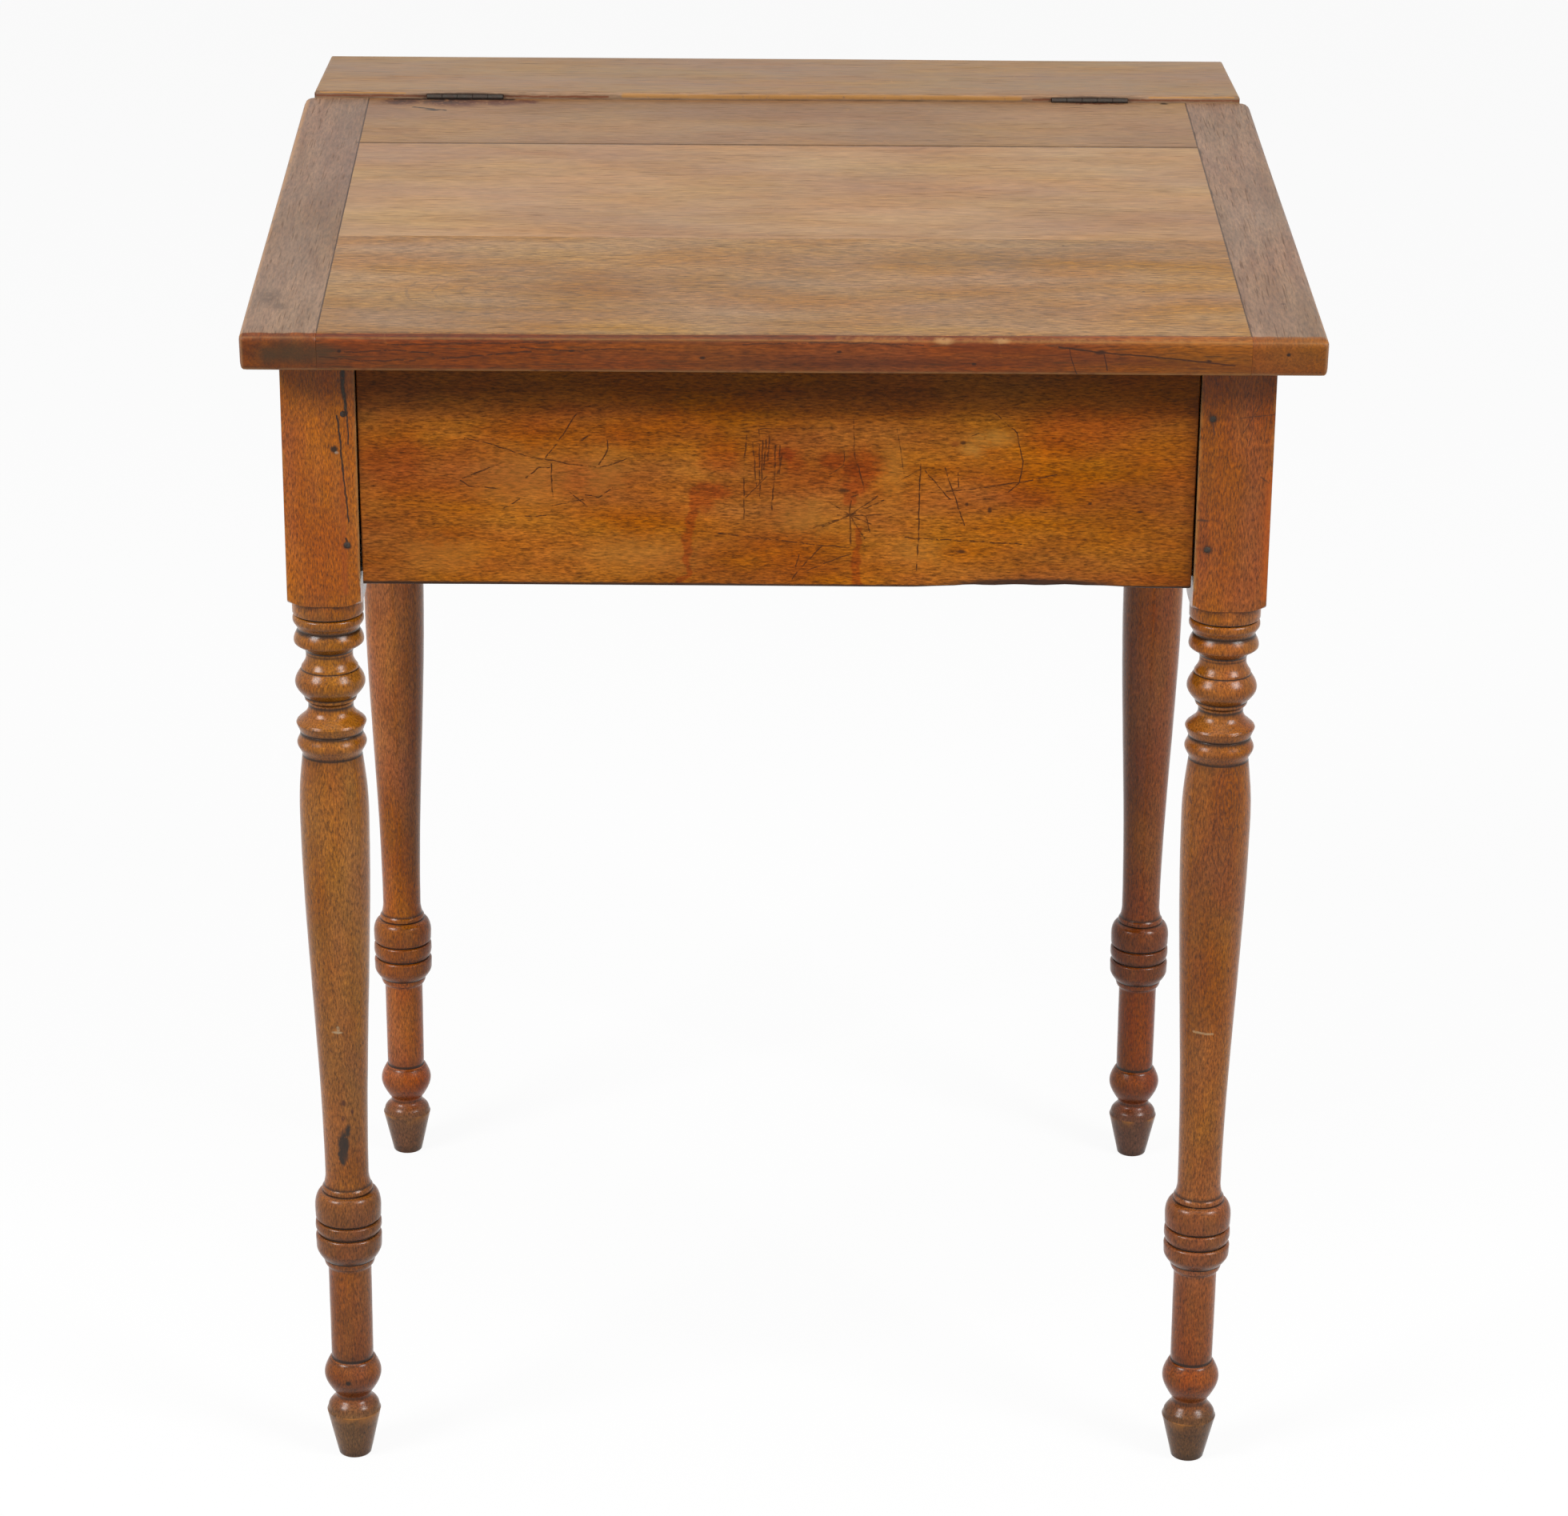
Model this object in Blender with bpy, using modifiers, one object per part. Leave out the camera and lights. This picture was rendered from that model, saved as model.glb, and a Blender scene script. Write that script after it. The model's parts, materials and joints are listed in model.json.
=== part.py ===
# Slant top desk: four turned legs, pinned aprons around a storage well, a level
# board fixed along the back, and a hinged sloping lid with breadboard ends.
# Metres, +Z up, front towards -Y, origin on the floor under the middle of the desk.

import math

import bmesh
import bpy
from mathutils import Vector

# Overall sizes
DESK_WIDTH = 0.723                  # lid, from side to side
DESK_DEPTH = 0.6272                 # lid's front edge to the back of the fixed top
DESK_HEIGHT = 0.9368                # floor to the upper face of the fixed top
FIT_GAP = 0.0003                    # between pieces that touch

# Lid and fixed top
BOARD_THICKNESS = 0.0254
LID_SLOPE = math.radians(6.69)
TOP_STEP = 0.0048                   # fixed top above the lid, at their joint
TOP_END_INSET = 0.0068              # ends of the fixed top, inside the ends of the lid
TOP_DEPTH = 0.1363
JOINT_GAP = 0.002                   # between the lid's back edge and the fixed top
LID_END_WIDTH = 0.049
LID_FRONT_BOARD = 0.1908            # board widths, along the slope
LID_MIDDLE_BOARD = 0.1983
TONGUE_LENGTH = 0.012               # board ends that enter the breadboard ends
TONGUE_THICKNESS = 0.008
TONGUE_STOP = 0.02                  # wood left in front of and behind the groove
EDGE_ROUND = 0.0025
LID_CORNER_ROUND = 0.008            # back corners, seen from above
ROUND_STEPS = 2

# Frame
LEG_SQUARE = 0.0508
BACK_POST_LENGTH = 0.2381           # square part of a back leg
LID_FRONT_OVERHANG = 0.0343         # past the posts
LID_SIDE_OVERHANG = 0.0246
TOP_BACK_OVERHANG = 0.0219
APRON_THICKNESS = 0.0222
APRON_SETBACK = 0.002               # behind the faces of the posts
APRON_ABOVE_POST_FOOT = 0.016
TENON_LENGTH = 0.028
TENON_THICKNESS = 0.008
TENON_SHOULDER = 0.015              # above and below each tenon
PIN_RADIUS = 0.0022
PIN_LENGTH = 0.030
PIN_FROM_SHOULDER = 0.0084
PIN_ABOVE_TENON_FOOT = 0.014
PIN_BELOW_TENON_TOP = 0.027
PIN_SIDES = 10

# Well floor, its cleats, and the blocks under the fixed top
FLOOR_THICKNESS = 0.012
FLOOR_BOARD_WIDTH = 0.175           # front and middle boards, the rear one fills up
CLEAT_SIZE = 0.018
CLEAT_ABOVE_APRON_FOOT = 0.002
BLOCK_LENGTH = 0.045
BLOCK_SIZE = 0.02
BLOCK_FROM_POST = 0.106             # middle of a block on the back apron, from the post

# Hinges
HINGE_FROM_LID_END = 0.1222         # middle of a hinge, from the lid's end
HINGE_LENGTH = 0.058
HINGE_AXIS_RISE = 0.0006            # axis above the lid's upper face
KNUCKLE_RADIUS = 0.0022
KNUCKLE_COUNT = 5
KNUCKLE_GAP = 0.0004
KNUCKLE_SIDES = 14
HINGE_PIN_RADIUS = 0.001
LEAF_DEPTH = 0.018
LEAF_THICKNESS = 0.0014
LEAF_SPACING = 0.0004               # between the closed leaves
SCREW_COUNT = 3                     # in each leaf
SCREW_SPACING = 0.02
SCREW_BELOW_AXIS = 0.011
SCREW_LENGTH = 0.014
SCREW_HEAD_RADIUS = 0.0026
SCREW_HEAD_DEPTH = 0.0012
SCREW_SHANK_RADIUS = 0.0012
SCREW_TIP = 0.003
SCREW_SIDES = 10

# Leg turning: heights of its stretches, from the floor up
FOOT_CONE_HEIGHT = 0.036
FOOT_SHOULDER_HEIGHT = 0.012
FOOT_BALL_RISE = 0.02
FOOT_BALL_FALL = 0.0135
SHANK_HEIGHT = 0.071
KNEE_FLARE_HEIGHT = 0.0195
KNEE_LOWER_BAND_HEIGHT = 0.0085
KNEE_GROOVE_EDGE = 0.004            # rounding of a band towards its groove
KNEE_RING_HEIGHT = 0.009
KNEE_UPPER_BAND_HEIGHT = 0.005
KNEE_CROWN_HEIGHT = 0.0235
VASE_CROWN_HEIGHT = 0.044           # above the vase's widest place
VASE_BEAD_HEIGHT = 0.0166
BELL_RIM_HEIGHT = 0.0072
BELL_HEIGHT = 0.0105
NECK_HEIGHT = 0.003
BALL_FOOT_HEIGHT = 0.0063
BALL_RISE = 0.0102
BALL_FALL = 0.01
FILLET_HEIGHT = 0.0015
COVE_HEIGHT = 0.008
THICK_BEAD_RISE = 0.008
THICK_BEAD_FALL = 0.0083
THIN_BEAD_RISE = 0.0076
THIN_BEAD_FALL = 0.0036
COLLAR_HEIGHT = 0.012
POST_SHOULDER_HEIGHT = 0.0085

# Leg turning: radii
FOOT_TIP_RADIUS = 0.0122
FOOT_RIM_RADIUS = 0.0198
FOOT_NECK_RADIUS = 0.0133
FOOT_BALL_RADIUS = 0.0209
SHANK_RADIUS = 0.0155
VASE_FOOT_RADIUS = 0.0158
VASE_RADIUS = 0.0244
VASE_TOP_RADIUS = 0.0211
BEAD_RADIUS = 0.0246
GROOVE_RADIUS = 0.0218
NECK_RADIUS = 0.0162
BALL_FOOT_RADIUS = 0.0188
FILLET_RADIUS = 0.02
LEG_SIDES = 16
TRIM = 0.01                         # how far cutters reach past what they cut
WELD_DISTANCE = 0.00001             # points closer than this are one point
SMOOTH_UNDER = math.radians(40)     # edges blunter than this are shaded smooth

# Places that follow from the sizes
FRONT_EDGE = -DESK_DEPTH / 2
BACK_EDGE = DESK_DEPTH / 2
LEG_HALF = LEG_SQUARE / 2
LEG_X = DESK_WIDTH / 2 - LID_SIDE_OVERHANG - LEG_HALF
LEG_FRONT_Y = FRONT_EDGE + LID_FRONT_OVERHANG + LEG_HALF
LEG_BACK_Y = BACK_EDGE - TOP_BACK_OVERHANG - LEG_HALF
TOP_WIDTH = DESK_WIDTH - 2 * TOP_END_INSET
TOP_UNDERSIDE = DESK_HEIGHT - BOARD_THICKNESS
TOP_FRONT = BACK_EDGE - TOP_DEPTH
JOINT_Y = TOP_FRONT - JOINT_GAP / 2
LID_TOP_AT_JOINT = DESK_HEIGHT - TOP_STEP
HINGE_X = DESK_WIDTH / 2 - HINGE_FROM_LID_END
AXIS_Z = LID_TOP_AT_JOINT + HINGE_AXIS_RISE
AXIS_TO_LID_TOP = HINGE_AXIS_RISE * math.cos(LID_SLOPE)
LID_UPPER = -AXIS_TO_LID_TOP
LID_LOWER = LID_UPPER - BOARD_THICKNESS
POST_FOOT = TOP_UNDERSIDE - FIT_GAP - BACK_POST_LENGTH
APRON_FOOT = POST_FOOT + APRON_ABOVE_POST_FOOT
APRON_OFFSET = LEG_HALF - APRON_SETBACK - APRON_THICKNESS / 2
FLOOR_UNDERSIDE = APRON_FOOT + CLEAT_ABOVE_APRON_FOOT + CLEAT_SIZE + FIT_GAP
WELL_X = LEG_X + APRON_OFFSET - APRON_THICKNESS / 2
WELL_FRONT = LEG_FRONT_Y - APRON_OFFSET + APRON_THICKNESS / 2
WELL_BACK = LEG_BACK_Y + APRON_OFFSET - APRON_THICKNESS / 2

# Colour, roughness and metallic value of each finish
FINISHES = {
    "leg_wood": ((0.30, 0.105, 0.035), 0.38, 0.0),
    "apron_wood": ((0.27, 0.105, 0.035), 0.42, 0.0),
    "top_wood": ((0.36, 0.19, 0.095), 0.36, 0.0),
    "lid_wood": ((0.38, 0.20, 0.10), 0.36, 0.0),
    "lid_end_wood": ((0.24, 0.12, 0.075), 0.38, 0.0),
    "inner_wood": ((0.40, 0.24, 0.12), 0.7, 0.0),
    "dark_iron": ((0.045, 0.04, 0.036), 0.5, 0.9),
    "pin_iron": ((0.10, 0.09, 0.08), 0.55, 0.8),
}


def lid_front_run():
    # Distance along the slope from the hinge axis to the lid's front face, such that
    # the rounded upper front edge just reaches the front of the desk.
    rounded = (EDGE_ROUND - LID_UPPER) * math.sin(LID_SLOPE) - EDGE_ROUND
    return EDGE_ROUND + (rounded + JOINT_Y - FRONT_EDGE) / math.cos(LID_SLOPE)


def lid_back_edge(height):
    # Place along the slope of the plumb back edge, at a height across the lid.
    return (height * math.sin(LID_SLOPE) - JOINT_GAP / 2) / math.cos(LID_SLOPE)


def lid_bed(y):
    # Height of the seat under the lid, at a distance from front to back.
    underside = LID_LOWER / math.cos(LID_SLOPE) + (y - JOINT_Y) * math.tan(LID_SLOPE)
    return AXIS_Z + underside - FIT_GAP


def clear_scene():
    for old in list(bpy.data.objects):
        bpy.data.objects.remove(old, do_unlink=True)


def make_collection(name):
    collection = bpy.data.collections.new(name)
    bpy.context.scene.collection.children.link(collection)
    return collection


def make_finish(name):
    colour, roughness, metallic = FINISHES[name]
    material = bpy.data.materials.new(name)
    material.use_nodes = True
    shader = material.node_tree.nodes["Principled BSDF"]
    shader.inputs["Base Color"].default_value = (*colour, 1.0)
    shader.inputs["Roughness"].default_value = roughness
    shader.inputs["Metallic"].default_value = metallic
    return material


def add_object(name, mesh, finish=None, parent=None, place=(0, 0, 0), turn=(0, 0, 0)):
    # A piece has a finish. A cutter has none.
    made = bpy.data.objects.new(name, mesh)
    made.location = place
    made.rotation_euler = turn
    made.parent = parent
    if finish:
        mesh.materials.append(materials[finish])
        pieces.objects.link(made)
    else:
        made.hide_render = True
        made.display_type = "WIRE"
        cutters.objects.link(made)
    return made


def boolean(target, other, operation):
    modifier = target.modifiers.new(other.name, "BOOLEAN")
    modifier.operation = operation
    modifier.object = other


def cut(target, cutter):
    boolean(target, cutter, "DIFFERENCE")


def join(target, other):
    boolean(target, other, "UNION")


def cut_group(target):
    # The cutters that are put in this collection come out of the piece in one go.
    group = bpy.data.collections.new(target.name + "_cuts")
    cutters.children.link(group)
    modifier = target.modifiers.new("cuts", "BOOLEAN")
    modifier.operand_type = "COLLECTION"
    modifier.collection = group
    return group


def box_shape(size):
    shape = bmesh.new()
    bmesh.ops.create_cube(shape, size=1.0)
    bmesh.ops.scale(shape, vec=size, verts=shape.verts)
    return shape


def finish_shape(shape, name):
    mesh = bpy.data.meshes.new(name)
    shape.to_mesh(mesh)
    shape.free()
    return mesh


def box(name, low, high, finish=None, parent=None, turn=(0, 0, 0)):
    # A board or block between two corners, or a cutter where it has no finish.
    low, high = Vector(low), Vector(high)
    mesh = finish_shape(box_shape(high - low), name)
    return add_object(name, mesh, finish, parent, (low + high) / 2, turn)


def grown(low, high, margin):
    edge = Vector((margin, margin, margin))
    return Vector(low) - edge, Vector(high) + edge


def cylinder(name, radius, start, end, sides, finish=None, parent=None):
    start, end = Vector(start), Vector(end)
    shape = bmesh.new()
    length = (end - start).length
    bmesh.ops.create_cone(shape, cap_ends=True, segments=sides, radius1=radius, radius2=radius, depth=length)
    mesh = finish_shape(shape, name)
    turn = (end - start).to_track_quat("Z", "Y").to_euler()
    made = add_object(name, mesh, finish, parent, (start + end) / 2, turn)
    mesh.shade_smooth()
    mesh.set_sharp_from_angle(angle=SMOOTH_UNDER)
    return made


def turned(name, profile, sides, finish=None, parent=None, place=(0, 0, 0), turn=(0, 0, 0)):
    # A lathe profile of (radius, height) points, from top to bottom, swept round Z.
    shape = bmesh.new()
    points = [shape.verts.new((radius, 0, height)) for radius, height in profile]
    for upper, lower in zip(points, points[1:]):
        shape.edges.new((upper, lower))
    made = add_object(name, finish_shape(shape, name), finish, parent, place, turn)
    sweep = made.modifiers.new("sweep", "SCREW")
    sweep.steps = sides
    sweep.render_steps = sides
    sweep.use_merge_vertices = True
    sweep.merge_threshold = WELD_DISTANCE
    sweep.use_smooth_shade = True
    return made


def round_edges(made, width):
    rounding = made.modifiers.new("rounding", "BEVEL")
    rounding.width = width
    rounding.segments = ROUND_STEPS
    return rounding


# Ways that a turned stretch goes from one radius to the next: (share of height, share of radius)
def straight(share):
    return share, share


def ogee(share):
    return share, share * share * (3 - 2 * share)


def swelling(share):
    angle = share * math.pi / 2
    return 1 - math.cos(angle), math.sin(angle)


def closing(share):
    angle = share * math.pi / 2
    return math.sin(angle), 1 - math.cos(angle)


def rounding_in(share):
    return share, math.sin(share * math.pi / 2)


def easing_out(share):
    return share, 1 - math.cos(share * math.pi / 2)


def stretch(profile, height, radius, bend=straight, steps=1):
    first_radius, first_height = profile[-1]
    for step in range(1, steps + 1):
        up, across = bend(step / steps)
        profile.append((first_radius + (radius - first_radius) * across, first_height + height * up))


def leg_profile(top):
    # From the floor up to the post's lower end, then out past the corners of the post.
    below_vase = (FOOT_CONE_HEIGHT + FOOT_SHOULDER_HEIGHT + FOOT_BALL_RISE + FOOT_BALL_FALL + SHANK_HEIGHT
                  + KNEE_FLARE_HEIGHT + KNEE_LOWER_BAND_HEIGHT + 2 * KNEE_GROOVE_EDGE + KNEE_RING_HEIGHT
                  + KNEE_UPPER_BAND_HEIGHT + KNEE_CROWN_HEIGHT)
    above_vase = (VASE_CROWN_HEIGHT + VASE_BEAD_HEIGHT + BELL_RIM_HEIGHT + BELL_HEIGHT + 2 * NECK_HEIGHT
                  + BALL_FOOT_HEIGHT + BALL_RISE + BALL_FALL + FILLET_HEIGHT + COVE_HEIGHT + THICK_BEAD_RISE
                  + THICK_BEAD_FALL + THIN_BEAD_RISE + THIN_BEAD_FALL + COLLAR_HEIGHT)
    vase_rise = POST_FOOT - below_vase - above_vase

    profile = [(0.0, 0.0), (FOOT_TIP_RADIUS, 0.0)]
    stretch(profile, FOOT_CONE_HEIGHT, FOOT_RIM_RADIUS)
    stretch(profile, FOOT_SHOULDER_HEIGHT, FOOT_NECK_RADIUS, ogee, 4)
    stretch(profile, FOOT_BALL_RISE, FOOT_BALL_RADIUS, rounding_in, 3)
    stretch(profile, FOOT_BALL_FALL, SHANK_RADIUS, easing_out, 3)
    stretch(profile, SHANK_HEIGHT, SHANK_RADIUS)

    stretch(profile, KNEE_FLARE_HEIGHT, BEAD_RADIUS, ogee, 4)
    stretch(profile, KNEE_LOWER_BAND_HEIGHT, BEAD_RADIUS)
    stretch(profile, KNEE_GROOVE_EDGE, GROOVE_RADIUS, closing, 2)
    stretch(profile, KNEE_RING_HEIGHT / 2, BEAD_RADIUS, swelling, 2)
    stretch(profile, KNEE_RING_HEIGHT / 2, GROOVE_RADIUS, closing, 2)
    stretch(profile, KNEE_GROOVE_EDGE, BEAD_RADIUS, swelling, 2)
    stretch(profile, KNEE_UPPER_BAND_HEIGHT, BEAD_RADIUS)
    stretch(profile, KNEE_CROWN_HEIGHT, VASE_FOOT_RADIUS, ogee, 4)

    stretch(profile, vase_rise, VASE_RADIUS, ogee, 5)
    stretch(profile, VASE_CROWN_HEIGHT, VASE_TOP_RADIUS, easing_out, 2)
    stretch(profile, VASE_BEAD_HEIGHT / 2, BEAD_RADIUS, ogee, 3)
    stretch(profile, VASE_BEAD_HEIGHT / 2, GROOVE_RADIUS, ogee, 3)
    stretch(profile, BELL_RIM_HEIGHT, BEAD_RADIUS)
    stretch(profile, BELL_HEIGHT, NECK_RADIUS, ogee, 4)
    stretch(profile, NECK_HEIGHT, NECK_RADIUS)
    stretch(profile, BALL_FOOT_HEIGHT, BALL_FOOT_RADIUS)
    stretch(profile, BALL_RISE, BEAD_RADIUS, rounding_in, 3)
    stretch(profile, BALL_FALL, FILLET_RADIUS, easing_out, 3)
    stretch(profile, FILLET_HEIGHT, FILLET_RADIUS)
    stretch(profile, COVE_HEIGHT, NECK_RADIUS, rounding_in, 3)
    stretch(profile, NECK_HEIGHT, NECK_RADIUS)
    stretch(profile, THICK_BEAD_RISE, BEAD_RADIUS, ogee, 3)
    stretch(profile, THICK_BEAD_FALL, GROOVE_RADIUS, easing_out, 3)
    stretch(profile, THIN_BEAD_RISE, BEAD_RADIUS, ogee, 3)
    stretch(profile, THIN_BEAD_FALL, GROOVE_RADIUS, closing, 2)
    stretch(profile, 0.0, BEAD_RADIUS)
    stretch(profile, COLLAR_HEIGHT, BEAD_RADIUS)

    past_corner = LEG_HALF * math.sqrt(2) / math.cos(math.pi / LEG_SIDES) + FIT_GAP
    stretch(profile, 0.0, LEG_HALF - FIT_GAP)
    stretch(profile, POST_SHOULDER_HEIGHT, past_corner, swelling, 3)
    stretch(profile, top + TRIM - profile[-1][1], past_corner)
    stretch(profile, 0.0, 0.0)
    return list(reversed(profile))


def make_leg(name, x, y, top):
    # Gives the collection that the leg's mortises and pin holes go in.
    leg = turned(name, leg_profile(top), LEG_SIDES, "leg_wood", place=(x, y, 0))
    square = box(name + "_square", (x - LEG_HALF, y - LEG_HALF, -TRIM), (x + LEG_HALF, y + LEG_HALF, top))
    boolean(leg, square, "INTERSECT")
    return cut_group(leg)


def make_legs():
    front_top = lid_bed(LEG_FRONT_Y + LEG_HALF) + TRIM
    back_top = TOP_UNDERSIDE - FIT_GAP
    # Everything above the lid's seat, tilted with the slope.
    above_bed = box("above_bed", (-DESK_WIDTH, -LEG_SQUARE, 0), (DESK_WIDTH, LEG_SQUARE, LEG_SQUARE))
    for corner in above_bed.data.vertices:
        corner.co.z += LEG_HALF
    above_bed.location = (0, LEG_FRONT_Y, lid_bed(LEG_FRONT_Y))
    above_bed.rotation_euler = (LID_SLOPE, 0, 0)
    leg_cuts = {}
    for side, x in (("left", -LEG_X), ("right", LEG_X)):
        leg_cuts["front", side] = make_leg(f"leg_front_{side}", x, LEG_FRONT_Y, front_top)
        leg_cuts["back", side] = make_leg(f"leg_back_{side}", x, LEG_BACK_Y, back_top)
        leg_cuts["front", side].objects.link(above_bed)
    return leg_cuts


def prism(name, outline, low_x, high_x, finish):
    # A (y, z) outline, filled and extruded from side to side.
    curve = bpy.data.curves.new(name, "CURVE")
    curve.dimensions = "2D"
    curve.fill_mode = "BOTH"
    curve.extrude = (high_x - low_x) / 2
    spline = curve.splines.new("POLY")
    spline.points.add(len(outline) - 1)
    for point, (y, z) in zip(spline.points, outline):
        point.co = (y, z, 0, 1)
    spline.use_cyclic_u = True
    flat = bpy.data.objects.new(name + "_outline", curve)
    bpy.context.scene.collection.objects.link(flat)
    evaluated = flat.evaluated_get(bpy.context.evaluated_depsgraph_get())
    mesh = bpy.data.meshes.new_from_object(evaluated)
    bpy.data.objects.remove(flat)
    bpy.data.curves.remove(curve)
    mesh.name = name
    shape = bmesh.new()
    shape.from_mesh(mesh)
    bmesh.ops.remove_doubles(shape, verts=shape.verts, dist=WELD_DISTANCE)
    bmesh.ops.recalc_face_normals(shape, faces=shape.faces)
    shape.to_mesh(mesh)
    shape.free()
    upright = (math.pi / 2, 0, math.pi / 2)
    return add_object(name, mesh, finish, place=((low_x + high_x) / 2, 0, 0), turn=upright)


def pin_joint(apron, leg_cuts, low, high, shoulder, inward, pin_start, pin_end, label):
    # One pinned mortise and tenon: the tenon joins the apron and its mortise is cut in the leg.
    # inward points from the shoulder back into the apron, which the tenon overlaps.
    root_low = Vector(low)
    root_high = Vector(high)
    for axis in range(2):
        if inward[axis] > 0:
            root_high[axis] = shoulder + TRIM
        elif inward[axis] < 0:
            root_low[axis] = shoulder - TRIM
    join(apron, box(label + "_tenon", root_low, root_high))
    leg_cuts.objects.link(box(label + "_mortise", *grown(root_low, root_high, FIT_GAP)))
    levels = (("lower", low[2] + PIN_ABOVE_TENON_FOOT), ("upper", high[2] - PIN_BELOW_TENON_TOP))
    for level, z in levels:
        start = Vector((*pin_start, z))
        end = Vector((*pin_end, z))
        reach = (end - start).normalized()
        cylinder(f"joint_pin_{label}_{level}", PIN_RADIUS, start, end, PIN_SIDES, "pin_iron")
        hole = cylinder(f"{label}_{level}_hole", PIN_RADIUS + FIT_GAP,
                        start - reach * TRIM, end + reach * FIT_GAP, PIN_SIDES)
        leg_cuts.objects.link(hole)
        cut(apron, hole)


def make_cross_apron(end, leg_y, outward, leg_cuts, top_at):
    # Front or back apron. outward is -1 at the front and 1 at the back.
    centre_y = leg_y + outward * APRON_OFFSET
    low_y = centre_y - APRON_THICKNESS / 2
    high_y = centre_y + APRON_THICKNESS / 2
    shoulder = LEG_X - LEG_HALF
    outline = ((low_y, APRON_FOOT), (high_y, APRON_FOOT), (high_y, top_at(high_y)), (low_y, top_at(low_y)))
    apron = prism(f"apron_{end}", outline, FIT_GAP - shoulder, shoulder - FIT_GAP, "apron_wood")
    tenon_top = top_at(low_y) - TENON_SHOULDER
    face_y = leg_y + outward * LEG_HALF
    for side, sign in (("left", -1), ("right", 1)):
        inner, tip = sorted((sign * shoulder, sign * (shoulder + TENON_LENGTH)))
        low = (inner, centre_y - TENON_THICKNESS / 2, APRON_FOOT + TENON_SHOULDER)
        high = (tip, centre_y + TENON_THICKNESS / 2, tenon_top)
        pin_x = sign * (shoulder + PIN_FROM_SHOULDER)
        pin_joint(apron, leg_cuts[end, side], low, high, sign * shoulder, (-sign, 0),
                  (pin_x, face_y), (pin_x, face_y - outward * PIN_LENGTH), f"{end}_{side}_{end}")


def make_side_apron(side, sign, leg_cuts):
    centre_x = sign * (LEG_X + APRON_OFFSET)
    front = LEG_FRONT_Y + LEG_HALF
    back = LEG_BACK_Y - LEG_HALF
    level_top = TOP_UNDERSIDE - FIT_GAP
    outline = ((front + FIT_GAP, APRON_FOOT), (back - FIT_GAP, APRON_FOOT), (back - FIT_GAP, level_top),
               (TOP_FRONT, level_top), (TOP_FRONT, lid_bed(TOP_FRONT)), (front + FIT_GAP, lid_bed(front)))
    apron = prism(f"apron_{side}", outline, centre_x - APRON_THICKNESS / 2, centre_x + APRON_THICKNESS / 2,
                  "apron_wood")
    face_x = sign * (LEG_X + LEG_HALF)
    ends = (("front", front, -1, lid_bed(front)), ("back", back, 1, level_top))
    for end, shoulder, outward, top in ends:
        inner, tip = sorted((shoulder, shoulder + outward * TENON_LENGTH))
        low = (centre_x - TENON_THICKNESS / 2, inner, APRON_FOOT + TENON_SHOULDER)
        high = (centre_x + TENON_THICKNESS / 2, tip, top - TENON_SHOULDER)
        pin_y = shoulder + outward * PIN_FROM_SHOULDER
        pin_joint(apron, leg_cuts[end, side], low, high, shoulder, (0, -outward),
                  (face_x, pin_y), (face_x - sign * PIN_LENGTH, pin_y), f"{end}_{side}_side")


def make_floor():
    half = WELL_X - FIT_GAP
    front = WELL_FRONT + FIT_GAP
    back = WELL_BACK - FIT_GAP
    first = front + FLOOR_BOARD_WIDTH
    second = first + FIT_GAP + FLOOR_BOARD_WIDTH
    spans = (("front", front, first), ("middle", first + FIT_GAP, second), ("rear", second + FIT_GAP, back))
    boards = {}
    for place, low_y, high_y in spans:
        boards[place] = box(f"well_floor_{place}", (-half, low_y, FLOOR_UNDERSIDE),
                            (half, high_y, FLOOR_UNDERSIDE + FLOOR_THICKNESS), "inner_wood")
    reach = LEG_HALF + FIT_GAP
    for place, leg_y in (("front", LEG_FRONT_Y), ("rear", LEG_BACK_Y)):
        for side, leg_x in (("left", -LEG_X), ("right", LEG_X)):
            notch = box(f"floor_notch_{place}_{side}",
                        (leg_x - reach, leg_y - reach, FLOOR_UNDERSIDE - TRIM),
                        (leg_x + reach, leg_y + reach, FLOOR_UNDERSIDE + FLOOR_THICKNESS + TRIM))
            cut(boards[place], notch)


def make_cleats():
    low_z = APRON_FOOT + CLEAT_ABOVE_APRON_FOOT
    high_z = low_z + CLEAT_SIZE
    between_x = LEG_X - LEG_HALF - FIT_GAP
    front = LEG_FRONT_Y + LEG_HALF + FIT_GAP
    back = LEG_BACK_Y - LEG_HALF - FIT_GAP
    for end, wall, inward in (("front", WELL_FRONT, 1), ("back", WELL_BACK, -1)):
        near, far = sorted((wall + inward * FIT_GAP, wall + inward * (FIT_GAP + CLEAT_SIZE)))
        box(f"floor_cleat_{end}", (-between_x, near, low_z), (between_x, far, high_z), "inner_wood")
    for side, sign in (("left", -1), ("right", 1)):
        near, far = sorted((sign * (WELL_X - FIT_GAP), sign * (WELL_X - FIT_GAP - CLEAT_SIZE)))
        box(f"floor_cleat_{side}", (near, front, low_z), (far, back, high_z), "inner_wood")


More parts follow.
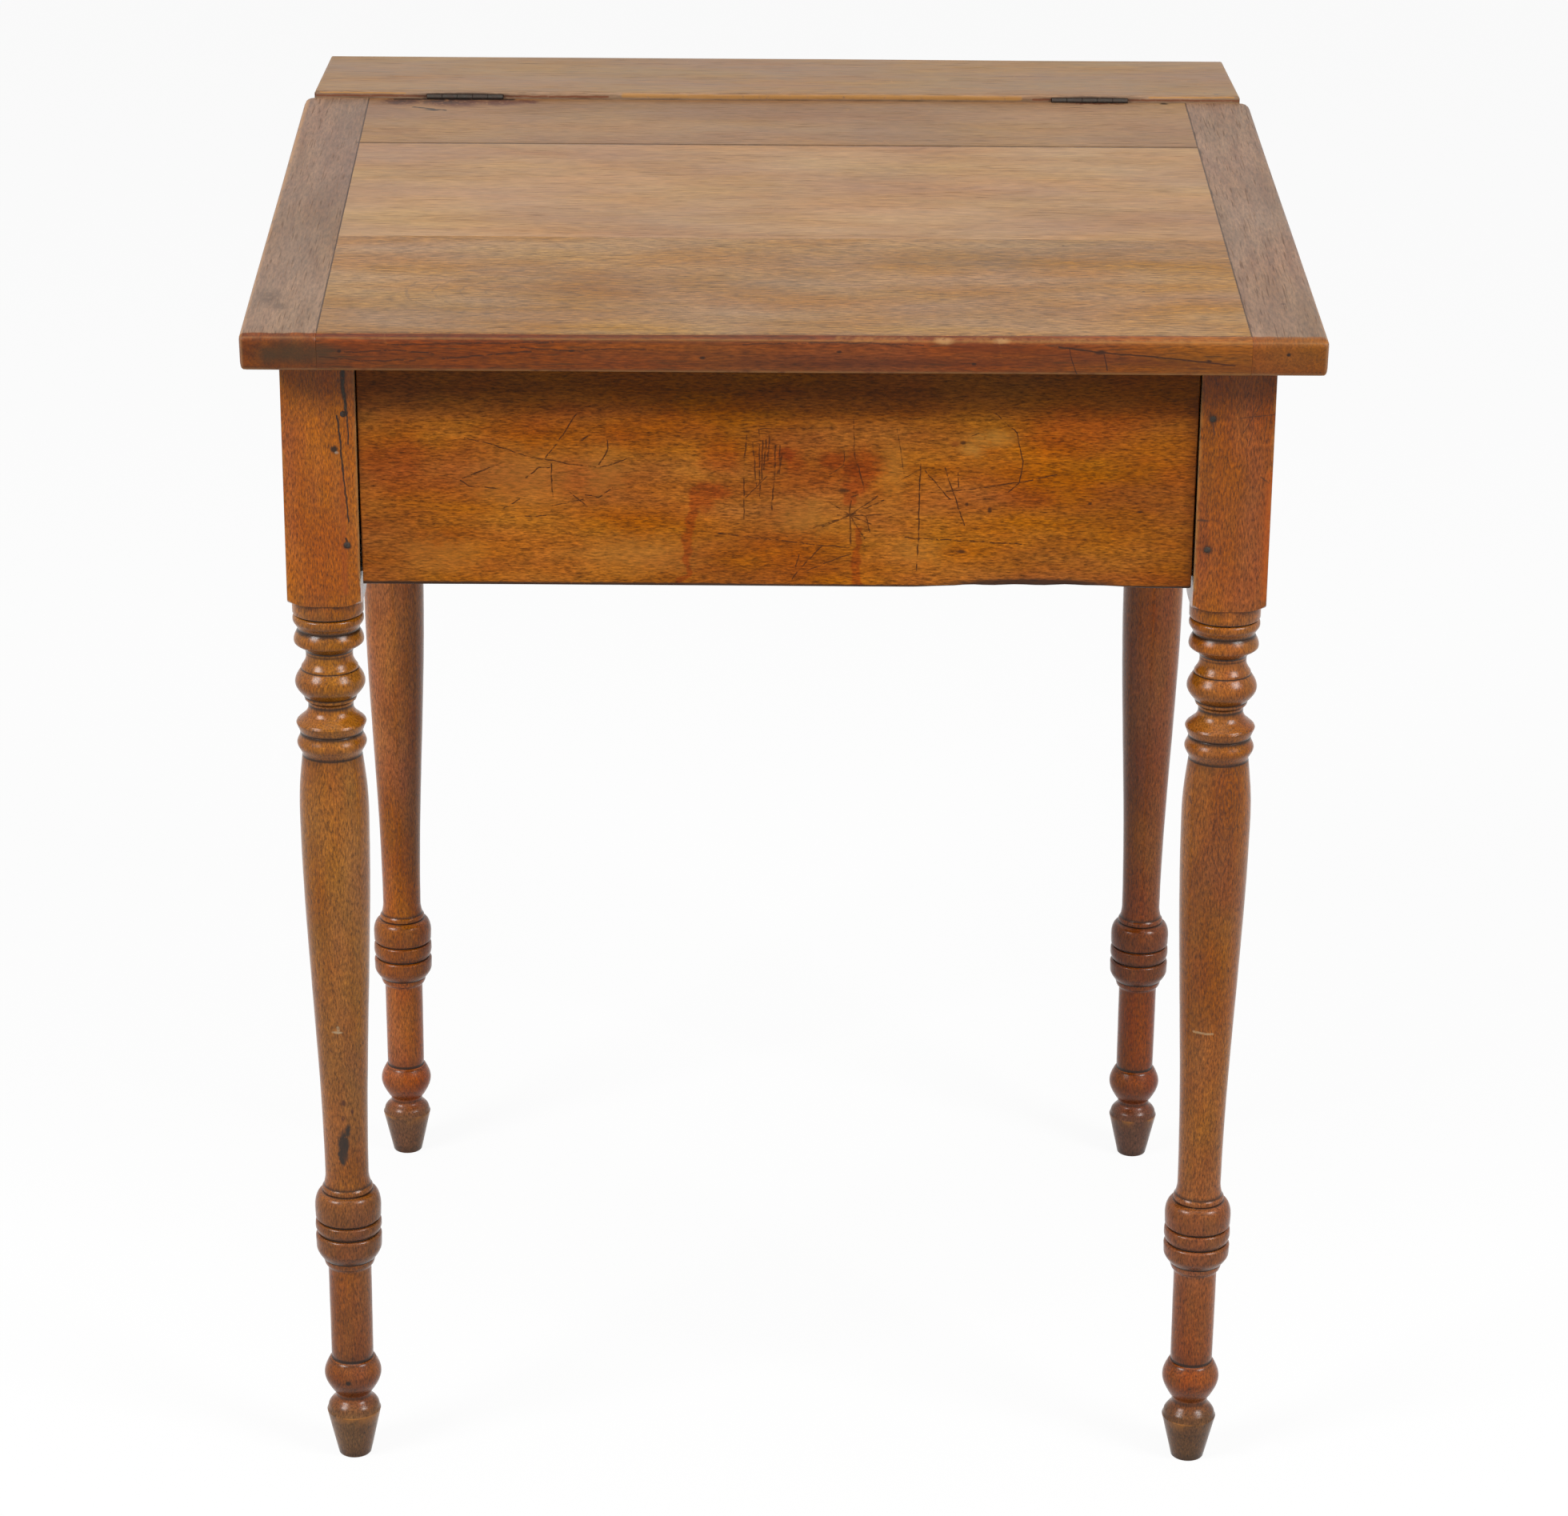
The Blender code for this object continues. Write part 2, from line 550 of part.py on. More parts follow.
def make_glue_blocks():
    high_z = TOP_UNDERSIDE - FIT_GAP
    low_z = high_z - BLOCK_SIZE
    wall_y = WELL_BACK - FIT_GAP
    middle_y = (TOP_FRONT + LEG_BACK_Y - LEG_HALF) / 2
    for side, sign in (("left", -1), ("right", 1)):
        middle_x = sign * (LEG_X - LEG_HALF - BLOCK_FROM_POST)
        box(f"glue_block_back_{side}", (middle_x - BLOCK_LENGTH / 2, wall_y - BLOCK_SIZE, low_z),
            (middle_x + BLOCK_LENGTH / 2, wall_y, high_z), "inner_wood")
        near, far = sorted((sign * (WELL_X - FIT_GAP), sign * (WELL_X - FIT_GAP - BLOCK_SIZE)))
        box(f"glue_block_{side}", (near, middle_y - BLOCK_LENGTH / 2, low_z),
            (far, middle_y + BLOCK_LENGTH / 2, high_z), "inner_wood")


def make_fixed_top():
    top = box("fixed_top", (-TOP_WIDTH / 2, TOP_FRONT, TOP_UNDERSIDE),
              (TOP_WIDTH / 2, BACK_EDGE, DESK_HEIGHT), "top_wood")
    round_edges(top, EDGE_ROUND)
    return top


def lid_board(name, x_range, front, back, finish, axis, roundings):
    # A lid board in lid coordinates: y along the slope and z square to it, from the hinge axis.
    # back is None where the board ends at the plumb joint. roundings(edge) gives a width.
    low = Vector((x_range[0], front, LID_LOWER))
    high = Vector((x_range[1], 0.0 if back is None else back, LID_UPPER))
    shape = box_shape(high - low)
    bmesh.ops.translate(shape, vec=(low + high) / 2, verts=shape.verts)
    if back is None:
        for corner in shape.verts:
            if corner.co.y > front + TRIM:
                corner.co.y = lid_back_edge(corner.co.z)
    weights = shape.edges.layers.float.new("bevel_weight_edge")
    for edge in shape.edges:
        edge[weights] = roundings(edge) / LID_CORNER_ROUND
    board = add_object(name, finish_shape(shape, name), finish, axis, turn=(LID_SLOPE, 0, 0))
    rounding = round_edges(board, LID_CORNER_ROUND)
    rounding.limit_method = "WEIGHT"
    return board


def edge_lies(edge, axis, place):
    return all(abs(corner.co[axis] - place) < FIT_GAP for corner in edge.verts)


def make_lid(axis):
    front = -lid_front_run()
    inner_x = DESK_WIDTH / 2 - LID_END_WIDTH
    first_seam = front + LID_FRONT_BOARD
    second_seam = first_seam + LID_MIDDLE_BOARD
    back = lid_back_edge(LID_LOWER)
    middle_z = (LID_LOWER + LID_UPPER) / 2

    def front_edges(edge):
        along = edge_lies(edge, 2, LID_UPPER) or edge_lies(edge, 2, LID_LOWER)
        return EDGE_ROUND if along and edge_lies(edge, 1, front) else 0.0

    def end_edges(outer_x):
        def width(edge):
            upright = not (edge_lies(edge, 2, LID_UPPER) or edge_lies(edge, 2, LID_LOWER))
            outer = edge_lies(edge, 0, outer_x)
            at_front = edge_lies(edge, 1, front)
            if outer and upright and not at_front:
                return LID_CORNER_ROUND
            if outer or (at_front and not upright):
                return EDGE_ROUND
            return 0.0
        return width

    def no_edges(edge):
        return 0.0

    half = inner_x - FIT_GAP / 2
    spans = (("front", front, first_seam - FIT_GAP / 2, front_edges),
             ("middle", first_seam + FIT_GAP / 2, second_seam - FIT_GAP / 2, no_edges),
             ("rear", second_seam + FIT_GAP / 2, None, no_edges))
    boards = {}
    for place, low_y, high_y, roundings in spans:
        boards[place] = lid_board(f"lid_board_{place}", (-half, half), low_y, high_y, "lid_wood", axis,
                                  roundings)
        tongue_front = low_y + (TONGUE_STOP if place == "front" else 0.0)
        tongue_back = back - TONGUE_STOP if high_y is None else high_y
        for side, sign in (("left", -1), ("right", 1)):
            near, far = sorted((sign * (half - TRIM), sign * (inner_x + TONGUE_LENGTH)))
            tongue = lid_block(f"lid_tongue_{place}_{side}",
                               (near, tongue_front, middle_z - TONGUE_THICKNESS / 2),
                               (far, tongue_back, middle_z + TONGUE_THICKNESS / 2), axis)
            join(boards[place], tongue)

    for side, sign in (("left", -1), ("right", 1)):
        outer_x = sign * DESK_WIDTH / 2
        x_range = sorted((sign * (inner_x + FIT_GAP / 2), outer_x))
        end = lid_board(f"lid_end_{side}", x_range, front, None, "lid_end_wood", axis, end_edges(outer_x))
        near, far = sorted((sign * (inner_x - TRIM), sign * (inner_x + TONGUE_LENGTH)))
        groove = lid_block(f"lid_groove_{side}",
                           *grown((near, front + TONGUE_STOP, middle_z - TONGUE_THICKNESS / 2),
                                  (far, back - TONGUE_STOP, middle_z + TONGUE_THICKNESS / 2), FIT_GAP), axis)
        cut(end, groove)
    return boards["rear"]


def lid_block(name, low, high, axis):
    # A cutter in lid coordinates.
    low, high = Vector(low), Vector(high)
    shape = box_shape(high - low)
    bmesh.ops.translate(shape, vec=(low + high) / 2, verts=shape.verts)
    return add_object(name, finish_shape(shape, name), parent=axis, turn=(LID_SLOPE, 0, 0))


def screw_profile(margin):
    # A countersunk screw, head at the top, or the hole for it where there is a margin.
    head = SCREW_HEAD_RADIUS + margin
    shank = SCREW_SHANK_RADIUS + margin
    tip = -SCREW_LENGTH - margin
    outline = [(0.0, 0.0), (head, 0.0), (shank, -SCREW_HEAD_DEPTH - margin), (shank, tip + SCREW_TIP),
               (0.0, tip)]
    if margin:
        outline[:2] = [(0.0, TRIM), (head, TRIM), (head, 0.0)]
    return outline


def make_hinge(side, centre_x, top_cuts, lid_cuts, axis):
    # Leaves hang in the joint between the two boards, with the barrel at its upper edge.
    pitch = (HINGE_LENGTH + KNUCKLE_GAP) / KNUCKLE_COUNT
    start_x = centre_x - HINGE_LENGTH / 2
    end_x = centre_x + HINGE_LENGTH / 2
    on_axis = Vector((0, JOINT_Y, AXIS_Z))
    bore = cylinder(f"hinge_{side}_bore", HINGE_PIN_RADIUS + FIT_GAP,
                    on_axis + Vector((start_x - TRIM, 0, 0)),
                    on_axis + Vector((end_x + TRIM, 0, 0)), KNUCKLE_SIDES)
    relief = cylinder(f"hinge_{side}_relief", KNUCKLE_RADIUS + KNUCKLE_GAP,
                      on_axis + Vector((start_x - KNUCKLE_GAP, 0, 0)),
                      on_axis + Vector((end_x + KNUCKLE_GAP, 0, 0)), KNUCKLE_SIDES)
    cylinder(f"hinge_{side}_pin", HINGE_PIN_RADIUS, on_axis + Vector((start_x, 0, 0)),
             on_axis + Vector((end_x, 0, 0)), KNUCKLE_SIDES, "dark_iron")

    for kind, board_cuts, sign, parent in (("fixed", top_cuts, 1, None), ("lid", lid_cuts, -1, axis)):
        shift = on_axis if parent else Vector((0, 0, 0))
        near = LEAF_SPACING / 2
        far = near + LEAF_THICKNESS
        low_y, high_y = sorted((JOINT_Y + sign * near, JOINT_Y + sign * far))
        low = Vector((start_x, low_y, AXIS_Z - LEAF_DEPTH))
        high = Vector((end_x, high_y, AXIS_Z))
        leaf = box(f"hinge_{side}_{kind}_leaf", low - shift, high - shift, "dark_iron", parent)
        pocket_low, pocket_high = grown(low, high, FIT_GAP)
        board_cuts.objects.link(box(f"hinge_{side}_{kind}_pocket", pocket_low, pocket_high))
        board_cuts.objects.link(relief)

        for index in range(KNUCKLE_COUNT):
            low_x = Vector((start_x + index * pitch, 0, 0))
            high_x = Vector((start_x + (index + 1) * pitch - KNUCKLE_GAP, 0, 0))
            own = (index % 2 == 0) == (kind == "fixed")
            label = f"hinge_{side}_{kind}_knuckle_{index + 1}"
            if own:
                join(leaf, cylinder(label, KNUCKLE_RADIUS, on_axis + low_x, on_axis + high_x, KNUCKLE_SIDES))
            else:
                spare = Vector((KNUCKLE_GAP, 0, 0))
                cut(leaf, cylinder(label, KNUCKLE_RADIUS + KNUCKLE_GAP, on_axis + low_x - spare,
                                   on_axis + high_x + spare, KNUCKLE_SIDES))
        cut(leaf, bore)

        turn = (sign * math.pi / 2, 0, 0)
        for index in range(SCREW_COUNT):
            x = centre_x + (index - (SCREW_COUNT - 1) / 2) * SCREW_SPACING
            place = Vector((x, JOINT_Y + sign * near, AXIS_Z - SCREW_BELOW_AXIS))
            label = f"hinge_{side}_{kind}_screw_{index + 1}"
            turned(label, screw_profile(0.0), SCREW_SIDES, "dark_iron", parent, place - shift, turn)
            hole = turned(label + "_hole", screw_profile(FIT_GAP), SCREW_SIDES, place=place, turn=turn)
            cut(leaf, hole)
            board_cuts.objects.link(hole)


def level_top_at(y):
    return TOP_UNDERSIDE - FIT_GAP


clear_scene()
pieces = make_collection("slant_top_desk")
cutters = make_collection("cutters")
materials = {name: make_finish(name) for name in FINISHES}

cuts_in_legs = make_legs()
make_cross_apron("front", LEG_FRONT_Y, -1, cuts_in_legs, lid_bed)
make_cross_apron("back", LEG_BACK_Y, 1, cuts_in_legs, level_top_at)
make_side_apron("left", -1, cuts_in_legs)
make_side_apron("right", 1, cuts_in_legs)
make_floor()
make_cleats()
make_glue_blocks()
fixed_top = make_fixed_top()

# The lid's pieces hang from an empty on the hinge axis.
lid_axis = bpy.data.objects.new("lid_axis", None)
lid_axis.location = (0, JOINT_Y, AXIS_Z)
pieces.objects.link(lid_axis)
rear_lid_board = make_lid(lid_axis)
top_cuts = cut_group(fixed_top)
lid_cuts = cut_group(rear_lid_board)
make_hinge("left", -HINGE_X, top_cuts, lid_cuts, lid_axis)
make_hinge("right", HINGE_X, top_cuts, lid_cuts, lid_axis)
bpy.context.view_layer.update()
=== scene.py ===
import json
import math

import bmesh
import bpy
from mathutils import Matrix, Vector, noise


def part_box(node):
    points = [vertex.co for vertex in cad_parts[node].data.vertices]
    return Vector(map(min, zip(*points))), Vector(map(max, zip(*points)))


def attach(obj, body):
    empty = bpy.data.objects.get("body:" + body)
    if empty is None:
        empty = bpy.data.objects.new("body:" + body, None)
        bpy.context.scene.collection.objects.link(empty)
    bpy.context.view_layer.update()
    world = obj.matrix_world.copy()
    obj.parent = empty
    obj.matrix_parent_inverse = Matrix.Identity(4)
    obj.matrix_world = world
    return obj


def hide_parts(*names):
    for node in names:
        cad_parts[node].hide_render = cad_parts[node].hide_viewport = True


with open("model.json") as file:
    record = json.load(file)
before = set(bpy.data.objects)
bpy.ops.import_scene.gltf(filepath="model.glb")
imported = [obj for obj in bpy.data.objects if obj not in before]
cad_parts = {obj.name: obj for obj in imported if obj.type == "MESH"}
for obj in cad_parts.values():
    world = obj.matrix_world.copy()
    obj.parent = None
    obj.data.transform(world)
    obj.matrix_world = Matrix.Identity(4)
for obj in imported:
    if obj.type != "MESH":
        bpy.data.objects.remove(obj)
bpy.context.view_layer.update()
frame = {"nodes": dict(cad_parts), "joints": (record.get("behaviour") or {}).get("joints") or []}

scene = bpy.context.scene
scene.view_settings.view_transform = "Standard"
print("frame loaded:", len(frame["nodes"]), "nodes")

# places that several pieces share, in metres
lidSlope = math.radians(6.69)
hingeAxis = Vector(frame["joints"][0]["pos_m"])
lidTurn = Matrix.Translation(hingeAxis) @ Matrix.Rotation(lidSlope, 4, "X")
fitGap = 0.0003
postHalf = 0.0254
legX = 0.3115
legFrontY = -0.2539
legBackY = 0.2663
apronFoot = 0.689
lidSeat = 0.906126  # height of the seat under the lid, at the hinge axis
endZone = 0.02  # how much of a board's end is moved to follow a slope


def lidBed(y):
    return lidSeat + (y - hingeAxis.y) * math.tan(lidSlope)


# node work: one method adds any node, and a wrapped socket takes part in plain expressions
def mathsOf(operation, swapped=False):
    def act(value, other):
        fed = (other, value) if swapped else (value, other)
        return value.work.add("ShaderNodeMath", {"operation": operation}, dict(enumerate(fed)))
    return act


class Value:
    def __init__(self, work, socket):
        self.work = work
        self.socket = socket

    __add__ = __radd__ = mathsOf("ADD")
    __sub__ = mathsOf("SUBTRACT")
    __rsub__ = mathsOf("SUBTRACT", True)
    __mul__ = __rmul__ = mathsOf("MULTIPLY")
    __truediv__ = mathsOf("DIVIDE")
    __pow__ = mathsOf("POWER")
    least = mathsOf("MINIMUM")
    most = mathsOf("MAXIMUM")

    def maths(self, operation):
        return self.work.add("ShaderNodeMath", {"operation": operation}, {0: self})

    def __neg__(self):
        return self * -1.0

    def __abs__(self):
        return self.maths("ABSOLUTE")

    def held(self):  # between 0 and 1
        return self.least(1.0).most(0.0)

    def fade(self, start, end):  # smooth step, 0 at start and 1 at end
        fed = {"Value": self, "From Min": start, "From Max": end}
        return self.work.add("ShaderNodeMapRange", {"interpolation_type": "SMOOTHSTEP", "clamp": False}, fed)


class NodeWork:
    def __init__(self, tree):
        self.tree = tree

    def add(self, kind, settings=None, inputs=None, out=0):
        made = self.tree.nodes.new(kind)
        for setting, choice in (settings or {}).items():
            setattr(made, setting, choice)
        for socket, fed in (inputs or {}).items():
            if isinstance(fed, Value):
                self.tree.links.new(fed.socket, made.inputs[socket])
            else:
                made.inputs[socket].default_value = fed
        return Value(self, made.outputs[out]) if made.outputs else made

    def shape(self, kind, inputs=None):
        return self.add("GeometryNode" + kind, None, inputs)

    def joined(self, *parts):
        return self.add("ShaderNodeCombineXYZ", None, dict(enumerate(parts)))

    def split(self, vector):
        first = self.add("ShaderNodeSeparateXYZ", None, {0: vector})
        return [Value(self, socket) for socket in first.socket.node.outputs]

    def vector(self, operation, *fed, out="Vector"):
        return self.add("ShaderNodeVectorMath", {"operation": operation}, dict(enumerate(fed)), out)

    def scaled(self, vector, share):
        return self.add("ShaderNodeVectorMath", {"operation": "SCALE"}, {0: vector, "Scale": share}, "Vector")

    def mix(self, share, first, second, way="MIX"):
        settings = {"data_type": "RGBA", "blend_type": way}
        first, second = [(*c, 1.0) if isinstance(c, tuple) else c for c in (first, second)]
        return self.add("ShaderNodeMix", settings, {0: share, 6: first, 7: second}, 2)

    def noise(self, place, stretch, detail=2.0, roughness=0.5, seed=0.0, out="Fac"):
        if not isinstance(stretch, tuple):  # the same all ways
            stretch = (stretch,) * 3
        moved = self.vector("MULTIPLY_ADD", place, stretch, (seed * 3.7, seed * 5.3, seed * 2.9))
        fed = {"Vector": moved, "Scale": 1.0, "Detail": detail, "Roughness": roughness}
        return self.add("ShaderNodeTexNoise", None, fed, out)


def newFinish(name):
    material = bpy.data.materials.new(name)
    material.use_nodes = True
    material.node_tree.nodes.clear()
    return material, NodeWork(material.node_tree)


# marks on a face, in millimetres: a line is (width, x, y, x, y, ...),
# and a spot is (x, y, half width, half height)
markGrain = {"shakeScale": 130, "gapScale": 260, "lineCore": 0.25, "spotCore": 0.4}


def mark(colour, strength, *shapes, core=None, gaps=(0.2, 0.5), shake=0.0012, way="MIX"):
    cores = (markGrain["lineCore"], markGrain["spotCore"]) if core is None else (core, core)
    return {"colour": colour, "strength": strength, "shapes": shapes, "cores": cores, "gaps": gaps,
            "shake": shake, "way": way}


def ovalLine(width, middle, sizes, start=0, end=360, steps=10):
    angles = [math.radians(start + (end - start) * step / steps) for step in range(steps + 1)]
    points = [(middle[0] + sizes[0] * math.cos(angle), middle[1] + sizes[1] * math.sin(angle))
              for angle in angles]
    return (width, *(part for point in points for part in point))


def fanLines(width, middle, *ends):
    return [(width, *middle, *end) for end in ends]


def lineShares(work, plane, core, width, *places):
    points = [Vector((*point, 0)) / 1000 for point in zip(places[::2], places[1::2])]
    for start, end in zip(points, points[1:]):
        run = end - start
        fromStart = work.vector("SUBTRACT", plane, start)
        share = work.vector("DOT_PRODUCT", fromStart, run / run.length_squared, out="Value").held()
        gap = work.vector("DISTANCE", fromStart, work.scaled(run, share), out="Value")
        yield gap.fade(width / 1000, width * core / 1000)


def spotShare(work, plane, core, x, y, halfWidth, halfHeight):
    stretch = (1000 / halfWidth, 1000 / halfHeight, 0)
    shift = (-x / halfWidth, -y / halfHeight, 0)
    reach = work.vector("LENGTH", work.vector("MULTIPLY_ADD", plane, stretch, shift), out="Value")
    return reach.fade(1.0, core)


def markShares(work, plane, group):
    lineCore, spotCore = group["cores"]
    for shape in group["shapes"]:
        if len(shape) == 4:
            yield spotShare(work, plane, spotCore, *shape)
        else:
            yield from lineShares(work, plane, lineCore, *shape)


def addMarks(work, colour, place, normal, face, groups):
    # face is (axis across, axis up, axis the face looks along, its side)
    axes = work.split(place)
    looks = work.split(normal)[face[2]] * face[3]
    shake = work.noise(place, markGrain["shakeScale"], 2.0, 0.55, 4, "Color")
    shakeA, shakeB = work.split(shake)[:2]
    rough = work.noise(place, markGrain["gapScale"], 2.0, 0.6, 9)
    onFace = looks.fade(0.3, 0.6)
    for group in groups:
        plane = work.joined(axes[face[0]] + (shakeA - 0.5) * group["shake"],
                            axes[face[1]] + (shakeB - 0.5) * group["shake"])
        mask = None
        for here in markShares(work, plane, group):
            mask = mask.most(here) if mask else here
        share = mask * rough.fade(*group["gaps"]) * onFace * group["strength"]
        colour = work.mix(share, colour, group["colour"], group["way"])
    return colour


# what all wood here shares: noise scales, along the grain and across it or the same all ways,
# where a noise begins to show and where it is full, and depths
woodGrain = {
    "streakScale": (3.5, 120), "patchScale": (9, 30), "chafeScale": 70, "contourScale": 26, "stripScale": 17,
    "fleckFade": (0.6, 0.72), "cloudFade": (0.32, 0.68), "ringFade": (0.2, 0.6), "streakFade": (0.45, 0.7),
    "scratchFade": (0.006, 0.001), "stripFade": (0.55, 0.68), "sideTurn": (0.35, 0.75),
    "nosingShake": 0.004, "nosingBlend": 0.0005, "nosingFull": 0.8, "aboveBlend": 0.002, "bumpDepth": 0.0004,
}
plainWood = {
    "drift": 0.03, "sway": 0.03, "streaks": 0.2, "blush": 0.03, "flecks": 0.5, "wearWidth": 0.003,
    "scratches": 0.2, "relief": 0.2, "rough": 0.4,
}


def woodFinish(name, look, low, high, along, tilted=False, marks=()):
    # solid wood: growth rings round a far pith, fibres, short dark flecks, wear along the edges
    # low and high are the corners between which edges wear, past the piece where an edge is joined
    material, work = newFinish(name)
    place = work.add("ShaderNodeTexCoord", None, None, "Object")
    normal = work.add("ShaderNodeTexCoord", None, None, "Normal")
    if tilted:
        turned = {"Vector": place, "Location": hingeAxis, "Rotation": (lidSlope, 0, 0)}
        place = work.add("ShaderNodeMapping", {"vector_type": "TEXTURE"}, turned)
    axes = work.split(place)
    run = axes[along]
    across = [axis for index, axis in enumerate(axes) if index != along]
    seed = look["seed"]

    def grain(lengthways, crossways):
        return tuple(lengthways if index == along else crossways for index in range(3))

    sway = work.split(work.noise(place, grain(*look["swayScale"]), 2.0, 0.5, seed, "Color"))
    pith = look["pith"]
    sideA = across[0] - pith[0] + run * look["drift"] + (sway[0] - 0.5) * look["sway"]
    sideB = across[1] - pith[1] + (sway[1] - 0.5) * look["sway"]
    radius = (sideA * sideA + sideB * sideB).maths("SQRT")
    ring = (radius * (2 * math.pi / look["ring"])).maths("SINE") * 0.5 + 0.5
    cloud = work.noise(place, grain(*look["cloudScale"]), 3.0, 0.55, seed + 1)
    fibre = work.noise(place, grain(*look["fibreScale"]), 3.0, 0.62, seed + 2)
    streak = work.noise(place, grain(*woodGrain["streakScale"]), 2.0, 0.5, seed + 3)
    fleck = work.noise(place, grain(*look["fleckScale"]), 1.0, 0.5, seed + 5).fade(*woodGrain["fleckFade"])
    patch = work.noise(place, grain(*woodGrain["patchScale"]), 2.0, 0.5, seed + 6)
    blush = work.noise(place, grain(*look["blushScale"]), 3.0, 0.55, seed + 12)

    colour = work.mix(cloud.fade(*woodGrain["cloudFade"]), look["deep"], look["light"])
    figure = ring ** 2.0 * patch.fade(*woodGrain["ringFade"]) * look["figure"]
    colour = work.mix(figure, colour, look["late"])
    colour = work.mix(streak.fade(*woodGrain["streakFade"]) * look["streaks"], colour, look["late"])
    for start, end, tint in look.get("zones", ()):  # up a leg, from one height to another
        colour = work.mix(axes[2].fade(start, end), colour, tint, "MULTIPLY")

    centre, half = (low + high) / 2, (high - low) / 2
    gaps = [half[index] - abs(axis - centre[index]) for index, axis in enumerate(axes)]
    toEdge = gaps[0].least(gaps[1]).most(gaps[0].most(gaps[1]).least(gaps[2]))
    dirt = look.get("dirt")
    if dirt:  # old polish and dust towards the ends of a board
        toEnd = gaps[dirt["axis"]]
        colour = work.mix(toEnd.fade(dirt["reach"], 0.0) * dirt["strength"], colour, dirt["colour"])
    for sides in look.get("sides", ()):
        turn = sides.get("turn", woodGrain["sideTurn"])
        facing = (work.split(normal)[sides["axis"]] * sides["side"]).fade(*turn)
        if "above" in sides:
            facing = facing * axes[2].fade(sides["above"] - woodGrain["aboveBlend"], sides["above"])
        tone = work.mix(streak.fade(0.35, 0.65), sides["deep"], sides["light"])
        colour = work.mix(facing, colour, tone)
    pale = (patch - 0.5) * look["paling"]
    nosing = look.get("nosing")
    if nosing:  # the lid's front edge, from where it begins to round over
        start = axes[0] * nosing["skew"] + nosing["depth"] + (streak - 0.5) * woodGrain["nosingShake"]
        onEdge = (axes[1] - nosing["at"] - start).fade(woodGrain["nosingBlend"], -woodGrain["nosingBlend"])
        tone = work.mix(streak.fade(0.3, 0.7), nosing["deep"], nosing["light"])
        tone = work.mix(axes[0].fade(*nosing["goldFrom"]) * nosing["goldShare"], tone, nosing["gold"])
        colour = work.mix(onEdge, colour, tone)
        pale = pale * (1.0 - onEdge * woodGrain["nosingFull"])
    colour = work.add("ShaderNodeHueSaturation", None, {
        "Hue": (blush - 0.5) * look["blush"] + 0.5, "Saturation": pale + 1.0,
        "Value": (fibre - 0.5) * look["fibres"] + 1.0, "Color": colour})
    colour = work.mix(fleck * patch.fade(0.25, 0.55) * look["flecks"], colour, look["fleck"])
    chafed = work.noise(place, woodGrain["chafeScale"], 3.0, 0.6, seed + 7).fade(*look["wearGaps"])
    colour = work.mix(toEdge.fade(look["wearWidth"], 0.0) * chafed * look["wear"], colour, look["wornAndRimLight"])
    # on turned legs: below 0 the wear colour paints a highlight on rims, with wear; above 0 dust and painted
    # shade darken grooves, necks and downward flanks
    if look.get("grimeAndShading"):
        grimeAndShading = work.add("ShaderNodeAttribute", {"attribute_name": "grimeAndShading"}, None, "Fac")
        colour = work.mix(grimeAndShading.fade(-0.2, -0.9) * chafed * look["wear"], colour, look["wornAndRimLight"])
        colour = work.mix(grimeAndShading.fade(0.2, 0.9) * look["grimeAndShading"], colour, look["dustAndShade"])
    contour = abs(work.noise(place, woodGrain["contourScale"], 1.0, 0.4, seed + 8) - 0.5)
    strip = work.noise(place, woodGrain["stripScale"], 2.0, 0.5, seed + 11).fade(*woodGrain["stripFade"])
    scratch = contour.fade(*woodGrain["scratchFade"]) * strip
    colour = work.mix(scratch * look["scratches"], colour, look["wornAndRimLight"])
    for face, groups in marks:
        colour = addMarks(work, colour, place, normal, face, groups)

    height = fibre * 0.35 + streak * 0.3 - fleck * 0.5 - scratch * 0.5
    bump = work.add("ShaderNodeBump", None, {
        "Height": height, "Strength": look["relief"], "Distance": woodGrain["bumpDepth"]})
    roughness = look["rough"] + (cloud - 0.5) * 0.16 + fleck * 0.12 + (fibre - 0.5) * 0.1
    shader = work.add("ShaderNodeBsdfPrincipled", None, {
        "Base Color": colour, "Roughness": roughness, "Normal": bump,
        "Specular IOR Level": look["gloss"], "IOR": 1.5,
    })
    work.add("ShaderNodeOutputMaterial", None, {"Surface": shader})
    return material


ironGrain = {"rustScale": 420, "pitScale": 1900, "bumpDepth": 0.0003}


def ironFinish(name, look):
    material, work = newFinish(name)
    place = work.add("ShaderNodeTexCoord", None, None, "Object")
    rust = work.noise(place, ironGrain["rustScale"], 4.0, 0.6, look["seed"])
    pits = work.noise(place, ironGrain["pitScale"], 2.0, 0.5, look["seed"] + 1)
    colour = work.mix(rust.fade(0.4, 0.7), look["bright"], look["rust"])
    colour = work.mix(pits.fade(0.55, 0.75) * 0.6, colour, look["dark"])
    bump = work.add("ShaderNodeBump", None, {
        "Height": pits, "Strength": 0.3, "Distance": ironGrain["bumpDepth"]})
    shader = work.add("ShaderNodeBsdfPrincipled", None, {
        "Base Color": colour, "Metallic": (1.0 - rust.fade(0.45, 0.7) * 0.7) * look["metal"],
        "Roughness": look["rough"] + (rust - 0.5) * 0.4, "Normal": bump, "Specular IOR Level": look["gloss"],
    })
    work.add("ShaderNodeOutputMaterial", None, {"Surface": shader})
    return material


# camera, as the photograph was taken
cameraView = {
    "place": (-0.0149, -3.0886, 1.6151),
    "pitch": 20.510,  # degrees down
    "yaw": 0.4182,  # degrees to the right
    "roll": 0.4472,
    "lens": 98.78,
    "sensor": 36,
    "farthest": 100,
}


